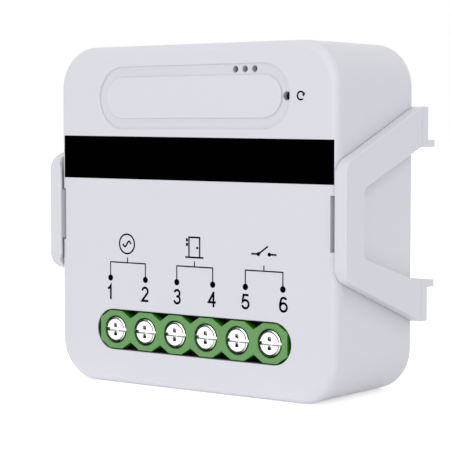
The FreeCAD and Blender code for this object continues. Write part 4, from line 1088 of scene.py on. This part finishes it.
class CONTROLLER_OT_print_wiring(bpy.types.Operator):
    """Print the three line-and-dot groups above the terminal"""
    bl_idname = "controller.print_wiring"
    bl_label = "Print wiring lines"

    def execute(self, context):
        ink = context.scene.controller_print
        surfaces = []
        stem_top, bar, foot = (CASE_MIDDLE_Z + level * MM
                               for level in (WIRING_STEM_TOP, WIRING_BAR, WIRING_FOOT))
        for group in WIRING_GROUPS:
            left, stem, right = (x * MM for x in group)
            surfaces.append(stroke([(left, foot), (left, bar), (right, bar), (right, foot)],
                                   ink.line_width, ink_height(ink)))
            surfaces.append(stroke([(stem, bar), (stem, stem_top)], ink.line_width, ink_height(ink, 1)))
            surfaces += [dot(x, foot, ink.dot_radius, ink_height(ink, 1)) for x in (left, right)]
        add_piece("printed_wiring_lines", *joined(surfaces), "case", ink_finish())
        return {"FINISHED"}


class CONTROLLER_OT_print_numbers(bpy.types.Operator):
    """Print the numbers 1 to 6 over the terminal"""
    bl_idname = "controller.print_numbers"
    bl_label = "Print terminal numbers"

    def execute(self, context):
        ink = context.scene.controller_print
        routes = digit_routes()
        surfaces = []
        for number, x in enumerate(NUMBER_X, 1):
            middle = np.array([x * MM, CASE_MIDDLE_Z + NUMBER_Z * MM])
            for layer, route in enumerate(routes[number]):
                surfaces.append(stroke(middle + np.asarray(route) * ink.digit_height,
                                       ink.digit_stroke, ink_height(ink, layer)))
        add_piece("printed_numbers", *joined(surfaces), "case", ink_finish())
        return {"FINISHED"}


class CONTROLLER_OT_print_signs(bpy.types.Operator):
    """Print the plain signs over the wiring lines and beside the reset hole"""
    bl_idname = "controller.print_signs"
    bl_label = "Print signs"

    def execute(self, context):
        ink = context.scene.controller_print
        surfaces = []
        for sign, x in zip((mains_sign, door_sign, contact_sign), SIGN_X):
            surfaces += sign(x * MM, CASE_MIDDLE_Z + SIGN_Z * MM, ink)
        surfaces += reset_sign(RESET_SIGN[0] * MM, CASE_MIDDLE_Z + RESET_SIGN[1] * MM, ink)
        add_piece("printed_signs", *joined(surfaces), "case", ink_finish())
        return {"FINISHED"}


class CONTROLLER_OT_set_stage(bpy.types.Operator):
    """Set up the floor, the lamps, the world and the camera"""
    bl_idname = "controller.set_stage"
    bl_label = "Set stage"

    def execute(self, context):
        stage = context.scene.controller_stage
        self.floor(stage)
        self.world(context.scene, stage)
        self.lamps(stage)
        self.camera(context.scene, stage)
        context.scene.view_settings.view_transform = "Standard"
        return {"FINISHED"}

    def seen_directly(self, tree):
        """1 where the camera sees a place, itself or in a mirror or through glass."""
        path = add_node(tree, "LightPath").outputs
        seen = math_node(tree, "MAXIMUM", path["Is Camera Ray"], path["Is Glossy Ray"])
        return math_node(tree, "MAXIMUM", seen, path["Is Transmission Ray"])

    def before_object(self, tree):
        """1 on the table just in front of the object, and 0 beside it and far in front."""
        place = object_place(tree)
        share = 1.0
        for axis, none, full in GLOW_LIMITS:
            share = math_node(tree, "MULTIPLY", ramp(tree, place[axis], none * MM, full * MM), share)
        return share

    def floor(self, stage):
        """A pale, faintly glowing disc under the object, whose rings grow by an even factor."""
        angle = np.linspace(0, 2 * np.pi, FLOOR_SIDES, endpoint=False)
        radii = FLOOR_RINGS[:, None]
        level = np.full((len(radii), FLOOR_SIDES), CAD_BOX[0].z)
        points = np.stack([radii * np.cos(angle), radii * np.sin(angle), level], -1).reshape(-1, 3)
        mesh = bpy.data.meshes.new("floor")
        mesh.from_pydata(points.tolist(), [], grid_faces(len(radii), FLOOR_SIDES)[:, ::-1].tolist())
        material = new_material("floor_finish", Base_Color=FLOOR_COLOUR, Roughness=0.9,
                                Specular_IOR_Level=0.0)
        tree = material.node_tree
        white = math_node(tree, "MULTIPLY", self.seen_directly(tree), stage.floor_white)
        front = math_node(tree, "MULTIPLY", self.before_object(tree), stage.front_glow)
        glows = math_node(tree, "ADD", front, stage.floor_glow)
        glow = add_node(tree, "Emission", {"Strength": math_node(tree, "ADD", white, glows)})
        shaders = {0: tree.nodes["Principled BSDF"].outputs["BSDF"], 1: glow.outputs["Emission"]}
        both = add_node(tree, "AddShader", shaders)
        tree.links.new(both.outputs["Shader"], tree.nodes["Material Output"].inputs["Surface"])
        mesh.materials.append(material)
        link_object("floor", mesh)

    def world(self, scene, stage):
        """Even light from all sides, and plain white where the camera or a mirror sees it."""
        scene.world = bpy.data.worlds.new("studio")
        scene.world.use_nodes = True
        tree = scene.world.node_tree
        soft = tree.nodes["Background"]
        soft.inputs["Color"].default_value = (*stage.tint, 1)
        soft.inputs["Strength"].default_value = stage.ambient
        white = add_node(tree, "Background", {"Color": (1, 1, 1, 1)})
        shades = {"Fac": self.seen_directly(tree), 1: soft.outputs["Background"],
                  2: white.outputs["Background"]}
        mix = add_node(tree, "MixShader", shades)
        tree.links.new(mix.outputs["Shader"], tree.nodes["World Output"].inputs["Surface"])

    def lamps(self, stage):
        """Square lamps aimed at the case that the camera doesn't see."""
        aim = Vector((0, 0, CASE_MIDDLE_Z))
        for name, (place, size, power) in LAMPS.items():
            light = bpy.data.lights.new(name, "AREA")
            light.energy = getattr(stage, power)
            light.size = size
            lamp = link_object(name, light)
            lamp.location = place
            lamp.rotation_mode = "QUATERNION"
            lamp.rotation_quaternion = (aim - lamp.location).to_track_quat("-Z", "Y")
            lamp.visible_camera = False
            lamp.visible_diffuse = name != "sheen_lamp"

    def camera(self, scene, stage):
        """Stand at the photograph's angle and look at its point of the front face."""
        data = bpy.data.cameras.new("camera")
        data.lens = stage.lens
        data.sensor_width = SENSOR_WIDTH
        data.clip_start, data.clip_end = 0.01, 20
        camera = link_object("camera", data)
        aim = Vector(stage.aim) + Vector((0, FRONT, CASE_MIDDLE_Z))
        back = Vector((math.sin(stage.azimuth) * math.cos(stage.elevation),
                       -math.cos(stage.azimuth) * math.cos(stage.elevation),
                       math.sin(stage.elevation)))
        camera.location = aim + back * stage.distance
        camera.rotation_mode = "QUATERNION"
        camera.rotation_quaternion = (-back).to_track_quat("-Z", "Y")
        scene.camera = camera


class CONTROLLER_PT_panel(bpy.types.Panel):
    """Lists the steps that build the controller's looks"""
    bl_label = "Garage door controller"
    bl_space_type = "VIEW_3D"
    bl_region_type = "UI"
    bl_category = "Controller"

    def draw(self, context):
        for step in STEPS:
            self.layout.operator(step.bl_idname)


SETTINGS = {"controller_case": CaseSettings, "controller_terminal": TerminalSettings,
            "controller_print": PrintSettings, "controller_screw": ScrewSettings,
            "controller_stage": StageSettings}
STEPS = (CONTROLLER_OT_finish_case, CONTROLLER_OT_build_lips, CONTROLLER_OT_finish_terminal,
         CONTROLLER_OT_finish_electronics, CONTROLLER_OT_build_screws, CONTROLLER_OT_print_band,
         CONTROLLER_OT_print_wiring, CONTROLLER_OT_print_numbers, CONTROLLER_OT_print_signs,
         CONTROLLER_OT_set_stage)


def register():
    for group in SETTINGS.values():
        bpy.utils.register_class(group)
    for name, group in SETTINGS.items():
        setattr(bpy.types.Scene, name, bpy.props.PointerProperty(type=group))
    for step in STEPS:
        bpy.utils.register_class(step)
    bpy.utils.register_class(CONTROLLER_PT_panel)


def unregister():
    bpy.utils.unregister_class(CONTROLLER_PT_panel)
    for step in STEPS:
        bpy.utils.unregister_class(step)
    for name, group in SETTINGS.items():
        delattr(bpy.types.Scene, name)
        bpy.utils.unregister_class(group)


def main():
    register()
    bpy.ops.controller.finish_case()
    bpy.ops.controller.build_lips()
    bpy.ops.controller.finish_terminal()
    bpy.ops.controller.finish_electronics()
    bpy.ops.controller.build_screws()
    bpy.ops.controller.print_band()
    bpy.ops.controller.print_wiring()
    bpy.ops.controller.print_numbers()
    bpy.ops.controller.print_signs()
    bpy.ops.controller.set_stage()


if __name__ == "__main__":
    main()
